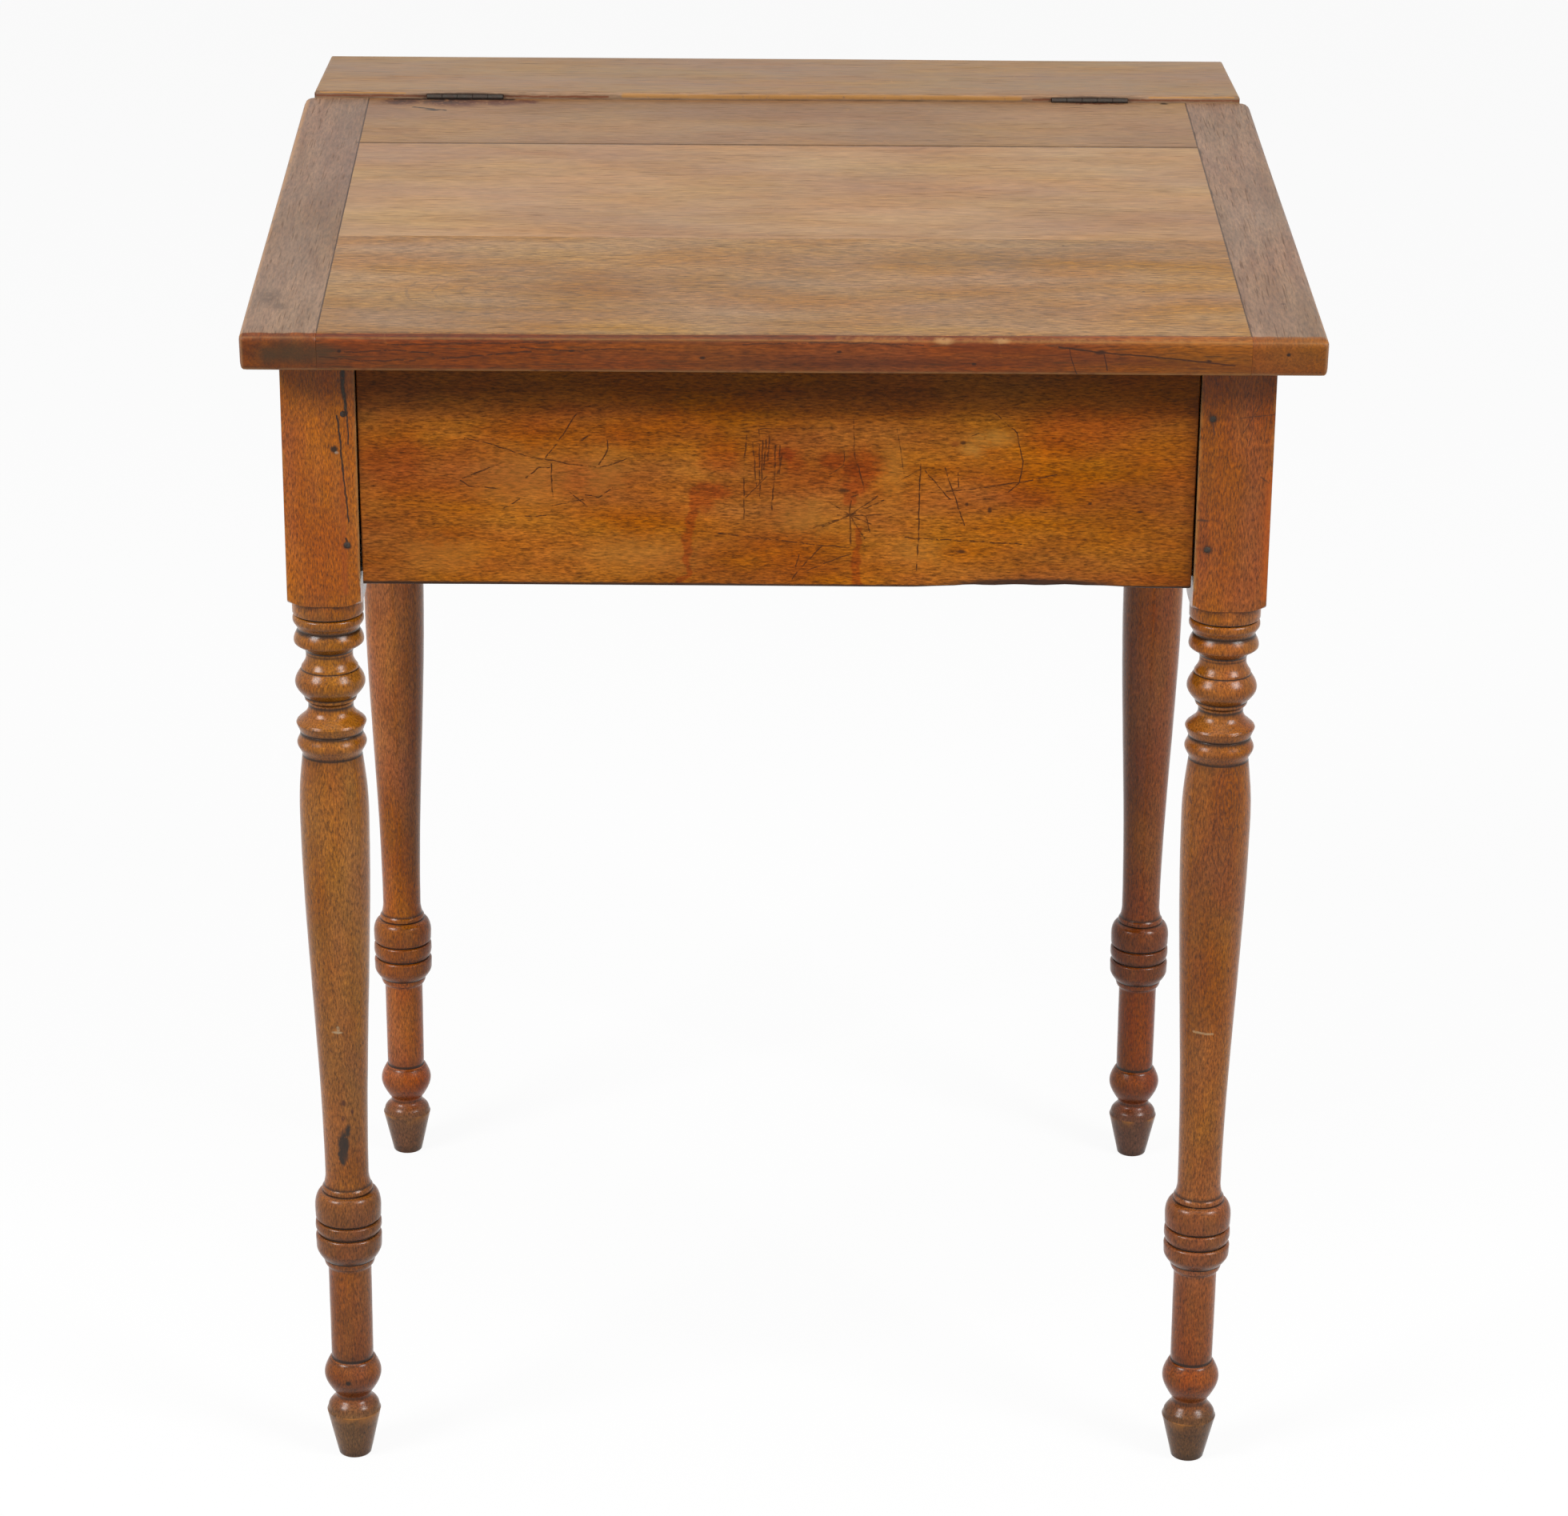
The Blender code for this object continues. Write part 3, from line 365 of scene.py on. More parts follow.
def makeCamera(view):
    pitch, yaw, roll = (math.radians(view[key]) for key in ("pitch", "yaw", "roll"))
    ahead = Vector((math.sin(yaw) * math.cos(pitch), math.cos(yaw) * math.cos(pitch), -math.sin(pitch)))
    right = Vector((math.cos(yaw), -math.sin(yaw), 0))
    up = right.cross(ahead)
    rolledRight = right * math.cos(roll) + up * math.sin(roll)
    rolledUp = up * math.cos(roll) - right * math.sin(roll)
    data = bpy.data.cameras.new("camera")
    data.lens = view["lens"]
    data.sensor_width = view["sensor"]
    data.clip_end = view["farthest"]
    camera = bpy.data.objects.new("camera", data)
    turn = Matrix((rolledRight, rolledUp, -ahead)).transposed().to_4x4()
    camera.matrix_world = Matrix.Translation(view["place"]) @ turn
    scene.collection.objects.link(camera)
    scene.camera = camera


makeCamera(cameraView)

studio = {
    "floorSize": 60.0,
    "floorColour": (0.4, 0.4, 0.4),  # as light bounces from it
    "floorSeen": (0.95, 0.95, 0.95),
    "floorGlow": 0.93,  # share of the floor's white that the shadow does not touch
    "ambient": 0.22,
    "aim": (0, 0, 0.55),
    "softboxes": (  # place, size, watts
        ((-2.6, -2.0, 2.9), 1.3, 105),
        ((2.6, -2.0, 2.9), 1.3, 98),
        ((0.0, -0.4, 3.9), 2.6, 26),
    ),
}


def seenDirectly(work):
    path = work.add("ShaderNodeLightPath").socket.node
    kinds = [Value(work, path.outputs[name]) for name in
             ("Is Camera Ray", "Is Glossy Ray", "Is Transmission Ray")]
    return kinds[0].most(kinds[1]).most(kinds[2])


def meshOf(shape, name):
    mesh = bpy.data.meshes.new(name)
    shape.to_mesh(mesh)
    shape.free()
    return mesh


def holdObject(mesh):
    made = bpy.data.objects.new(mesh.name, mesh)
    scene.collection.objects.link(made)
    return made


def makeStudio(values):
    shape = bmesh.new()
    bmesh.ops.create_grid(shape, x_segments=2, y_segments=2, size=values["floorSize"] / 2)
    mesh = meshOf(shape, "studio_floor")
    floor = holdObject(mesh)
    material, work = newFinish("studio_paper")
    direct = seenDirectly(work)
    tone = work.mix(direct, values["floorColour"], values["floorSeen"])
    paper = work.add("ShaderNodeBsdfDiffuse", None, {"Color": tone})
    white = work.add("ShaderNodeEmission", None, {"Color": (1, 1, 1, 1), "Strength": 1.0})
    mixed = {0: direct * values["floorGlow"], 1: paper, 2: white}
    work.add("ShaderNodeOutputMaterial", None, {"Surface": work.add("ShaderNodeMixShader", None, mixed)})
    mesh.materials.append(material)

    world = bpy.data.worlds.new("studio")
    world.use_nodes = True
    world.node_tree.nodes.clear()
    work = NodeWork(world.node_tree)
    strength = seenDirectly(work) * (1 - values["ambient"]) + values["ambient"]
    sky = work.add("ShaderNodeBackground", None, {"Color": (1, 1, 1, 1), "Strength": strength})
    work.add("ShaderNodeOutputWorld", None, {"Surface": sky})
    scene.world = world

    aim = Vector(values["aim"])
    for index, (place, size, watts) in enumerate(values["softboxes"]):
        data = bpy.data.lights.new(f"softbox_{index + 1}", "AREA")
        data.size = size
        data.energy = watts
        lamp = bpy.data.objects.new(data.name, data)
        lamp.location = place
        lamp.rotation_euler = (aim - Vector(place)).to_track_quat("-Z", "Y").to_euler()
        scene.collection.objects.link(lamp)


makeStudio(studio)
print("camera and studio made")


# mesh helpers
def boardLines(low, high, step, nearEdge):
    near = [gap for gap in nearEdge if gap < (high - low) * 0.4]
    first, last = low + near[-1], high - near[-1]
    count = max(1, round((last - first) / step))
    middle = [first + (last - first) * index / count for index in range(count + 1)]
    return [low + gap for gap in near[:-1]] + middle + [high - gap for gap in reversed(near[:-1])]


def easeEdge(point, low, high, axes, sides, radius):
    # rounds the edge between two faces, which are named by their axes and sides
    past = []
    for axis, side in zip(axes, sides):
        face = high[axis] if side > 0 else low[axis]
        past.append(radius - abs(face - point[axis]))
    reach = math.hypot(*past)
    if min(past) > 0 and reach > radius:
        for axis, side, amount in zip(axes, sides, past):
            point[axis] -= side * amount * (1 - radius / reach)


boardPoints = {"pastRound": (0.003, 0.008), "chipScale": 31, "chipFrom": 0.25, "unevenScale": 7}


def boardMesh(name, low, high, make, reshape=None):
    # a board as a grid on a box: small edges rounded, named edges eased, faces a little uneven
    low, high = Vector(low), Vector(high)
    small, large = make["smallRound"], make["largeRound"]
    nearEdge = [0, small * 0.45, small, large * 0.35, large * 0.65, large]
    nearEdge += [large + gap for gap in boardPoints["pastRound"]]
    lines = [boardLines(low[axis], high[axis], make["step"], nearEdge) for axis in range(3)]
    shape = bmesh.new()
    corners = {}

    def corner(*index):
        if index not in corners:
            point = Vector([lines[axis][index[axis]] for axis in range(3)])
            core = Vector([min(max(point[axis], low[axis] + small), high[axis] - small) for axis in range(3)])
            out = (point - core).normalized()
            point = core + out * small
            for axes, sides, radius in make.get("eased", ()):
                easeEdge(point, low, high, axes, sides, radius)
            chip = noise.noise(point * boardPoints["chipScale"] + Vector((make["seed"], 0, 0)))
            onEdge = sorted(abs(part) for part in out)[1]
            point -= out * max(0, chip - boardPoints["chipFrom"]) * onEdge * make["chips"]
            swell = noise.noise(point * boardPoints["unevenScale"] + Vector((0, make["seed"], 0)))
            point += out * swell * make["uneven"]
            corners[index] = shape.verts.new(reshape(point) if reshape else point)
        return corners[index]

    for axis in range(3):
        u, v = (axis + 1) % 3, (axis + 2) % 3
        for end in (0, len(lines[axis]) - 1):
            for i in range(len(lines[u]) - 1):
                for j in range(len(lines[v]) - 1):
                    quad = []
                    for stepU, stepV in ((0, 0), (1, 0), (1, 1), (0, 1)):
                        index = [0, 0, 0]
                        index[axis], index[u], index[v] = end, i + stepU, j + stepV
                        quad.append(corner(*index))
                    shape.faces.new(quad if end else quad[::-1])
    return meshOf(shape, name)


def settled(made):
    # the evaluated shape as a plain mesh
    graph = bpy.context.evaluated_depsgraph_get()
    return bpy.data.meshes.new_from_object(made.evaluated_get(graph), depsgraph=graph)


def carved(mesh, tools, operation="DIFFERENCE"):
    work = holdObject(mesh)
    helpers = [holdObject(tool) for tool in tools]
    for helper in helpers:
        modifier = work.modifiers.new("carve", "BOOLEAN")
        modifier.operation = operation
        modifier.object = helper
        modifier.solver = "MANIFOLD"
    result = settled(work)
    for used in (work, *helpers):
        bpy.data.objects.remove(used)
    return result


def boxMesh(low, high):
    shape = bmesh.new()
    bmesh.ops.create_cube(shape, size=1.0)
    low, high = Vector(low), Vector(high)
    for corner in shape.verts:
        corner.co = (low + high) / 2 + Vector([corner.co[axis] * (high - low)[axis] for axis in range(3)])
    return meshOf(shape, "tool")


def rodMesh(radius, start, end, sides=24):
    shape = bmesh.new()
    start, end = Vector(start), Vector(end)
    turn = (end - start).to_track_quat("Z", "Y").to_matrix().to_4x4()
    bmesh.ops.create_cone(shape, cap_ends=True, segments=sides, radius1=radius, radius2=radius,
                          depth=(end - start).length, matrix=Matrix.Translation((start + end) / 2) @ turn)
    return meshOf(shape, "tool")


def placePiece(name, mesh, finish, body, slot, *nodes, smoothUnder=32):
    mesh.name = name
    if finish:
        mesh.materials.clear()
        mesh.materials.append(finish)
    mesh.shade_smooth()
    mesh.set_sharp_from_angle(angle=math.radians(smoothUnder))
    made = holdObject(mesh)
    made.name = name
    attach(made, body)
    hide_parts(*nodes)
    return made


# Geometry Nodes: a tree with named inputs, run once on a mesh of points
def startTree(name, sizes):
    tree = bpy.data.node_groups.new(name, "GeometryNodeTree")
    tree.interface.new_socket("Geometry", in_out="OUTPUT", socket_type="NodeSocketGeometry")
    tree.interface.new_socket("Geometry", in_out="INPUT", socket_type="NodeSocketGeometry")
    for label, start in sizes.items():
        kind = "NodeSocketInt" if isinstance(start, int) else "NodeSocketFloat"
        tree.interface.new_socket(label, in_out="INPUT", socket_type=kind).default_value = start
    work = NodeWork(tree)
    first = work.add("NodeGroupInput").socket.node
    given = {socket.name: Value(work, socket) for socket in first.outputs if socket.name}
    return work, given


def endTree(work, shape, material):
    shape = work.shape("RealizeInstances", {0: shape})
    shape = work.shape("SetMaterial", {0: shape, "Material": material})
    work.add("NodeGroupOutput", None, {0: shape})


def runTree(mesh, work, sizes):
    made = holdObject(mesh)
    modifier = made.modifiers.new("build", "NODES")
    modifier.node_group = work.tree
    for item in work.tree.interface.items_tree:
        if item.in_out == "INPUT" and item.name in sizes:
            modifier[item.identifier] = sizes[item.name]
    result = settled(made)
    made.modifiers.remove(modifier)
    bpy.data.objects.remove(made)
    return result


def joinShapes(work, *shapes):
    joined = work.shape("JoinGeometry")
    for shape in shapes:
        work.tree.links.new(shape.socket, joined.socket.node.inputs[0])
    return joined


def pointMesh(points, directions=None):
    mesh = bpy.data.meshes.new("points")
    mesh.from_pydata([tuple(point) for point in points], [], [])
    if directions:
        facing = mesh.attributes.new("facing", "FLOAT_VECTOR", "POINT")
        for row, direction in zip(facing.data, directions):
            row.vector = direction
    return mesh


# turned legs, in millimetres: stretches from the floor up as (height, radius, grime and shading),
# each in one straight step unless its way and number of steps follow; the third value above 0 is dust
# with painted shade in grooves, necks and downward flanks, and below 0 wear with a painted highlight on rims
legTurning = {
    "start": (0.0, 10.8, 0.8),
    "stretches": (
        (1.5, 12.2, 0.6, "swelling", 3), (35.4, 19.8, -0.7, "straight", 6), (36.0, 19.9, -0.9),
        (36.6, 19.6, -0.4), (39.0, 18.8, 0.2, "straight", 2), (43.4, 16.3, 0.35, "easing", 5),
        (47.8, 13.2, 0.6, "filling", 6), (49.2, 13.2, 0.6), (53.0, 15.3, 0.35, "easing", 4),
        (67.6, 20.9, 0.0, "filling", 12), (79.4, 16.8, 0.6, "easing", 10), (80.6, 15.1, 1.0, "straight", 2),
        (81.8, 15.1, 1.0), (83.0, 15.4, 0.5), (154.0, 15.7, 0.1, "straight", 10),
        (156.4, 16.6, 0.5, "easing", 3), (157.2, 17.6, 0.6), (158.0, 18.0, 0.0),
        (161.2, 18.9, 0.0, "straight", 2), (162.0, 18.8, 1.0), (162.6, 19.6, 0.9),
        (171.6, 23.9, 0.0, "filling", 9), (178.4, 24.15, 0.4, "straight", 2),
        (181.0, 21.6, 1.0, "closing", 5), (181.9, 21.3, 1.0), (183.6, 23.4, 0.6, "swelling", 4),
        (187.8, 24.15, 0.0, "filling", 4), (191.2, 24.0, 0.4, "easing", 3), (193.5, 21.7, 1.0, "closing", 5),
        (194.4, 21.4, 1.0), (196.2, 23.8, 0.4, "swelling", 5), (203.5, 24.1, 0.0, "straight", 3),
        (214.6, 19.0, 0.3, "closing", 10), (215.2, 18.2, 1.0), (215.8, 18.3, 0.9),
        (217.6, 18.5, 0.0, "filling", 3), (219.6, 17.5, 0.5, "easing", 3), (220.2, 17.1, 0.8),
        (229.0, 15.75, 0.1, "filling", 7), (515.0, 24.4, 0.0, "ogee", 30), (556.4, 21.2, 0.5, "easing", 14),
        (557.2, 20.9, 1.0), (566.2, 24.35, 0.0, "ogee", 10), (573.2, 22.0, 0.8, "ogee", 8),
        (574.0, 21.6, 1.0), (574.6, 22.0, 0.9), (580.4, 24.35, 0.0, "straight", 4), (581.2, 24.5, 0.0),
        (581.7, 24.2, 0.0), (583.4, 22.9, 0.0, "easing", 3), (587.4, 18.2, 0.0, "straight", 4),
        (592.6, 15.8, 0.5, "filling", 7), (594.4, 15.8, 0.9), (597.4, 16.8, 1.0, "easing", 3),
        (598.2, 18.0, 0.4), (600.0, 18.5, 0.5, "straight", 2), (600.7, 18.4, 1.0), (601.4, 19.0, 0.7),
        (611.0, 24.5, 0.0, "filling", 12), (620.2, 20.5, 0.3, "easing", 9), (620.9, 19.7, 1.0),
        (621.6, 19.9, 0.3), (622.6, 19.7, 0.0), (630.2, 16.4, 0.1, "filling", 8), (632.2, 16.4, 0.7),
        (634.4, 16.9, 1.0, "easing", 3), (641.2, 24.4, 0.0, "ogee", 9), (642.0, 24.5, 0.0),
        (649.2, 21.9, 0.8, "easing", 8), (649.9, 21.3, 1.0), (650.6, 21.7, 1.0),
        (657.2, 24.8, 0.0, "ogee", 9), (658.2, 24.8, 0.0), (661.0, 22.5, 1.0, "closing", 6),
        (661.6, 22.3, 1.0), (662.1, 24.3, 0.5), (662.9, 24.8, 0.0), (672.2, 24.9, 0.1, "straight", 3),
        (673.0, 25.0, 0.7), (681.6, 36.7, 0.0, "swelling", 10), (684.0, 37.6, 0.0),
        (880.0, 37.6, 0.0, "straight", 2), (920.0, 37.6, 0.0),
    ),
    "Sides": 96,
    "Wobble": 0.00035,
    "wobbleScale": (38, 38, 60),
    "Oval": 0.985,  # dried wood is narrower one way
}
postBoard = {"smallRound": 0.0011, "largeRound": 0.0022, "step": 0.02, "chips": 0.002, "uneven": 0.0001}
blankFoot = -0.01  # the blank that squares the post passes the floor

turningWays = {
    "straight": lambda share: (share, share),
    "ogee": lambda share: (share, share * share * (3 - 2 * share)),
    "swelling": lambda share: (1 - math.cos(share * math.pi / 2), math.sin(share * math.pi / 2)),
    "closing": lambda share: (math.sin(share * math.pi / 2), 1 - math.cos(share * math.pi / 2)),
    "filling": lambda share: (share, math.sin(share * math.pi / 2)),
    "easing": lambda share: (share, 1 - math.cos(share * math.pi / 2)),
}


def readTable(rows, place):
    for (start, first), (end, last) in zip(rows, rows[1:]):
        if place <= end or end == rows[-1][0]:
            return first + (last - first) * (min(place, end) - start) / (end - start)


def turningLine(make, lifts, lean):
    # the lathe line as a chain of points on the axis, which carry their radius and their grime with painted
    # shade, or wear with a painted highlight where that is below 0
    height, radius, grimeAndShading = make["start"]
    rows = [(height, radius, grimeAndShading)]
    for nextHeight, nextRadius, nextGrimeAndShading, *curve in make["stretches"]:
        way, steps = curve or ("straight", 1)
        for step in range(1, steps + 1):
            up, outwards = turningWays[way](step / steps)
            rows.append((height + (nextHeight - height) * up, radius + (nextRadius - radius) * outwards,
                         nextGrimeAndShading * (step / steps) ** 3 + grimeAndShading * (1 - step / steps) ** 3))
        height, radius, grimeAndShading = nextHeight, nextRadius, nextGrimeAndShading
    mesh = bpy.data.meshes.new("turning_line")
    places = [(readTable(lean, row[0]) / 1000, 0, (row[0] + readTable(lifts, row[0])) / 1000) for row in rows]
    mesh.from_pydata(places, [(index, index + 1) for index in range(len(rows) - 1)], [])
    for label, column, scale in (("turnRadius", 1, 1000), ("grimeAndShading", 2, 1)):
        values = mesh.attributes.new(label, "FLOAT", "POINT")
        values.data.foreach_set("value", [row[column] / scale for row in rows])
    return mesh


def legTree(make, material):
    sizes = {name: make[name] for name in ("Sides", "Wobble", "Oval")}
    work, given = startTree("turned_leg", sizes)
    line = work.shape("MeshToCurve", {0: given["Geometry"]})
    ring = work.shape("CurvePrimitiveCircle", {"Resolution": given["Sides"], "Radius": 1.0})
    radius = work.add("GeometryNodeInputNamedAttribute", {"data_type": "FLOAT"}, {"Name": "turnRadius"})
    swept = {"Curve": line, "Profile Curve": ring, "Scale": radius, "Fill Caps": True}
    shape = work.shape("CurveToMesh", swept)
    place = work.shape("InputPosition")
    cloud = work.noise(place, make["wobbleScale"], 2.0, 0.5, 3, "Color")
    level = work.vector("MULTIPLY", work.vector("SUBTRACT", cloud, (0.5, 0.5, 0.5)), (1, 1, 0))
    shake = work.scaled(level, given["Wobble"])
    x, y, z = work.split(place)
    oval = work.joined(x, y * given["Oval"], z)
    shape = work.shape("SetPosition", {0: shape, "Position": oval, "Offset": shake})
    endTree(work, shape, material)
    return work, sizes


legLook = {
    **plainWood, "light": (0.36, 0.098, 0.007), "deep": (0.265, 0.064, 0.004), "late": (0.17, 0.036, 0.003),
    "fleck": (0.06, 0.016, 0.004), "wornAndRimLight": (0.45, 0.17, 0.03), "dustAndShade": (0.022, 0.010, 0.005),
    "drift": 0.0, "sway": 0.012, "swayScale": (2.2, 9), "ring": 0.0042,
    "cloudScale": (9, 26), "figure": 0.14, "streaks": 0.12, "fibreScale": (260, 1000), "fibres": 3.2,
    "blushScale": (16, 45), "paling": 0.2, "fleckScale": (240, 1100),
    "wear": 0.75, "wearGaps": (0.4, 0.62), "scratches": 0.15, "grimeAndShading": 0.92, "rough": 0.23, "gloss": 0.27,
    "zones": (
        (0.70, 0.655, (0.79, 1.02, 2.2)), (0.30, 0.17, (1.0, 0.83, 0.85)), (0.235, 0.205, (0.78, 0.86, 1.2)),
        (0.168, 0.155, (1.28, 1.16, 0.83)), (0.085, 0.06, (0.82, 0.78, 0.9)), (0.055, 0.035, (0.62, 1.08, 2.4)),
    ),
}

frontFace = (0, 2, 1, -1)
darkMark = (0.03, 0.012, 0.005)
innerTones = {"light": (0.33, 0.19, 0.085), "deep": (0.23, 0.125, 0.052)}
asDrawn = ((0, 0), (920, 0))
# marks on the front of a leg, (x, z)
legMarks = {
    "front_left": (
        mark((0.30, 0.055, 0.005), 0.45, (3.0, -296.2, 772, -296.6, 684)),
        mark((0.016, 0.009, 0.005), 0.95, (2.5, -293.7, 848, -294.5, 832, -293.2, 822),
            (1.6, -293.2, 822, -292.5, 811), (0.8, -292.5, 820, -291.4, 790),
            (1.0, -298.6, 809.5, -296.6, 786.6, -295.8, 768),
            (0.8, -295.8, 768, -294.1, 752, -293.0, 734.6), (1.1, -295.2, 723, -293.6, 718),
            (-301.2, 786.4, 3.8, 3.4), (-294.4, 717.8, 3.9, 3.9), (-312, 67, 3, 2.6), gaps=(0.1, 0.35),
            shake=0.0025),
        mark((0.10, 0.085, 0.045), 0.4, (0.9, -293.5, 839, -294.2, 829, -292.9, 815), gaps=(0.4, 0.6)),
        mark((0.30, 0.24, 0.18), 0.9, (-299.6, 783.8, 1.9, 1.5)),
        mark((0.46, 0.33, 0.19), 0.8, (-312.5, 350, 5, 1.5), (-311.6, 353, 1.6, 3)),
        mark((0.028, 0.02, 0.015), 0.95, (-310.5, 259, 5.2, 17), (-312.5, 250, 3.4, 10),
            (-307.5, 270, 3, 8), core=0.45, gaps=(0.0, 0.4), shake=0.006),
        mark((0.07, 0.02, 0.01), 0.8, (-309.6, 293.7, 2.2, 3.6), (-310.4, 281, 1.8, 3),
            (-304, 286, 1.2, 2.4)),
    ),
    "front_right": (
        mark((0.44, 0.085, 0.006), 0.6, (4.5, 335.4, 772, 335.2, 684), core=0.1),
        mark(darkMark, 0.85, (294.5, 811, 4.6, 4.6), (294.5, 718, 4.8, 4.8), (309, 66, 2.6, 2.2)),
        mark((0.07, 0.024, 0.01), 0.8, (1.3, 287.5, 739.3, 293.4, 738.9), (0.9, 294.9, 807, 295.8, 800),
            (1.2, 291, 532, 292.4, 528), (1.2, 287, 499, 288, 495), (0.5, 327.4, 823, 315.4, 801),
            (0.7, 328.8, 770, 334.4, 766), (0.45, 313, 811.6, 336, 814.4),
            (0.4, 321.4, 824, 322, 803, 319.6, 792), (0.4, 331, 812, 329.6, 794)),
        mark((0.09, 0.03, 0.012), 0.5, ovalLine(0.8, (317.8, 534), (2, 7)),
            ovalLine(0.8, (317.6, 533), (4, 14)), ovalLine(0.8, (317.4, 532), (6.2, 21)),
            ovalLine(0.8, (317.2, 531), (8.6, 29)), (0.7, 310, 510, 315.6, 494, 321.5, 512),
            (0.7, 308.5, 501, 315, 484, 322, 503), (0.7, 307.5, 491, 314.6, 474, 322.5, 494),
            gaps=(0.15, 0.5), shake=0.0018),
        mark((0.50, 0.32, 0.16), 0.7, (1.3, 301, 353, 314, 352)),
    ),
}
# place, how the wood lies in it, its tones by height, and in millimetres by height
# how far its turning stands above the common one and leans to the right
legs = {
    "front_left": {
        "at": (-legX, legFrontY), "pith": (-0.37, -0.21), "seed": 2.0,
        "lifts": ((0, 0), (36, 0.8), (48, 1.5), (62, 0.6), (72, 0), (150, 0.9), (163, 1.1), (178, 2.6),
                  (183, 3.0), (193, 0.8), (204, 1.4), (214, 2.4), (232, 2.2), (330, 0), (920, 0)),
        "lean": ((0, 0.8), (200, 1.1), (560, 0), (920, 0)),
        "tones": ((-0.2, -0.1, (1.2, 1.22, 0.95)), (0.30, 0.17, (0.84, 0.83, 1.05)),
                  (0.055, 0.035, (1.34, 1.3, 1.1))),
    },
    "front_right": {
        "at": (legX, legFrontY), "pith": (0.317, -0.17), "seed": 5.0, "ring": 0.0021,
        "lifts": ((0, 0), (30, -1.2), (42, -2.0), (49, -0.5), (60, 0), (150, 0), (165, -0.2), (180, -2.0),
                  (196, -2.4), (206, -2.6), (230, -2.6), (330, 0), (920, 0)),
        "tones": ((0.66, 0.70, (0.82, 0.75, 0.7)), (0.70, 0.655, (1.1, 1.0, 0.8)),
                  (0.055, 0.035, (0.84, 0.8, 0.78))),
    },
    "back_left": {
        "at": (-legX, legBackY), "pith": (-0.25, 0.30), "seed": 8.0,
        "lifts": ((0, 0), (165, 0), (181, -0.6), (194, 0.6), (210, 0), (920, 0)),
        "tones": ((-0.2, -0.1, (1.5, 1.33, 1.2)),),
    },
    "back_right": {
        "at": (legX, legBackY), "pith": (0.24, 0.33), "seed": 11.0,
        "tones": ((-0.2, -0.1, (1.02, 0.84, 1.0)),),
    },
}


def makeLegs():
    for label, leg in legs.items():
        x, y = leg["at"]
        front = label.startswith("front")
        low = Vector((x - postHalf, y - postHalf, blankFoot))
        high = Vector((x + postHalf, y + postHalf, lidBed(y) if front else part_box("leg_" + label)[1].z))
        look = {**legLook, **{key: leg[key] for key in ("pith", "seed", "ring") if key in leg}}
        look["zones"] = (*legLook["zones"], *leg["tones"])
        inwards = [(0, math.copysign(1, -x)), (1, math.copysign(1, -y))]
        look["sides"] = [{"axis": axis, "side": side, "above": apronFoot, **innerTones}
                         for axis, side in inwards]
        marks = ((frontFace, legMarks.get(label, ())),)
        finish = woodFinish("leg_wood_" + label, look, low, high, 2, marks=marks)
        work, sizes = legTree(legTurning, finish)
        line = turningLine(legTurning, leg.get("lifts", asDrawn), leg.get("lean", asDrawn))
        mesh = runTree(line, work, sizes)
        mesh.transform(Matrix.Translation((x, y, 0)))

        def slopeTop(point):
            if front and point.z > high.z - endZone:
                point.z += lidBed(point.y) - high.z
            return point

        blank = boardMesh("post_blank", low, high, {**postBoard, "seed": leg["seed"]}, slopeTop)
        mesh = carved(mesh, [blank], "INTERSECT")
        placePiece("turned_leg_" + label, mesh, finish, "frame", "leg_wood", "leg_" + label, smoothUnder=38)


makeLegs()
print("legs turned")


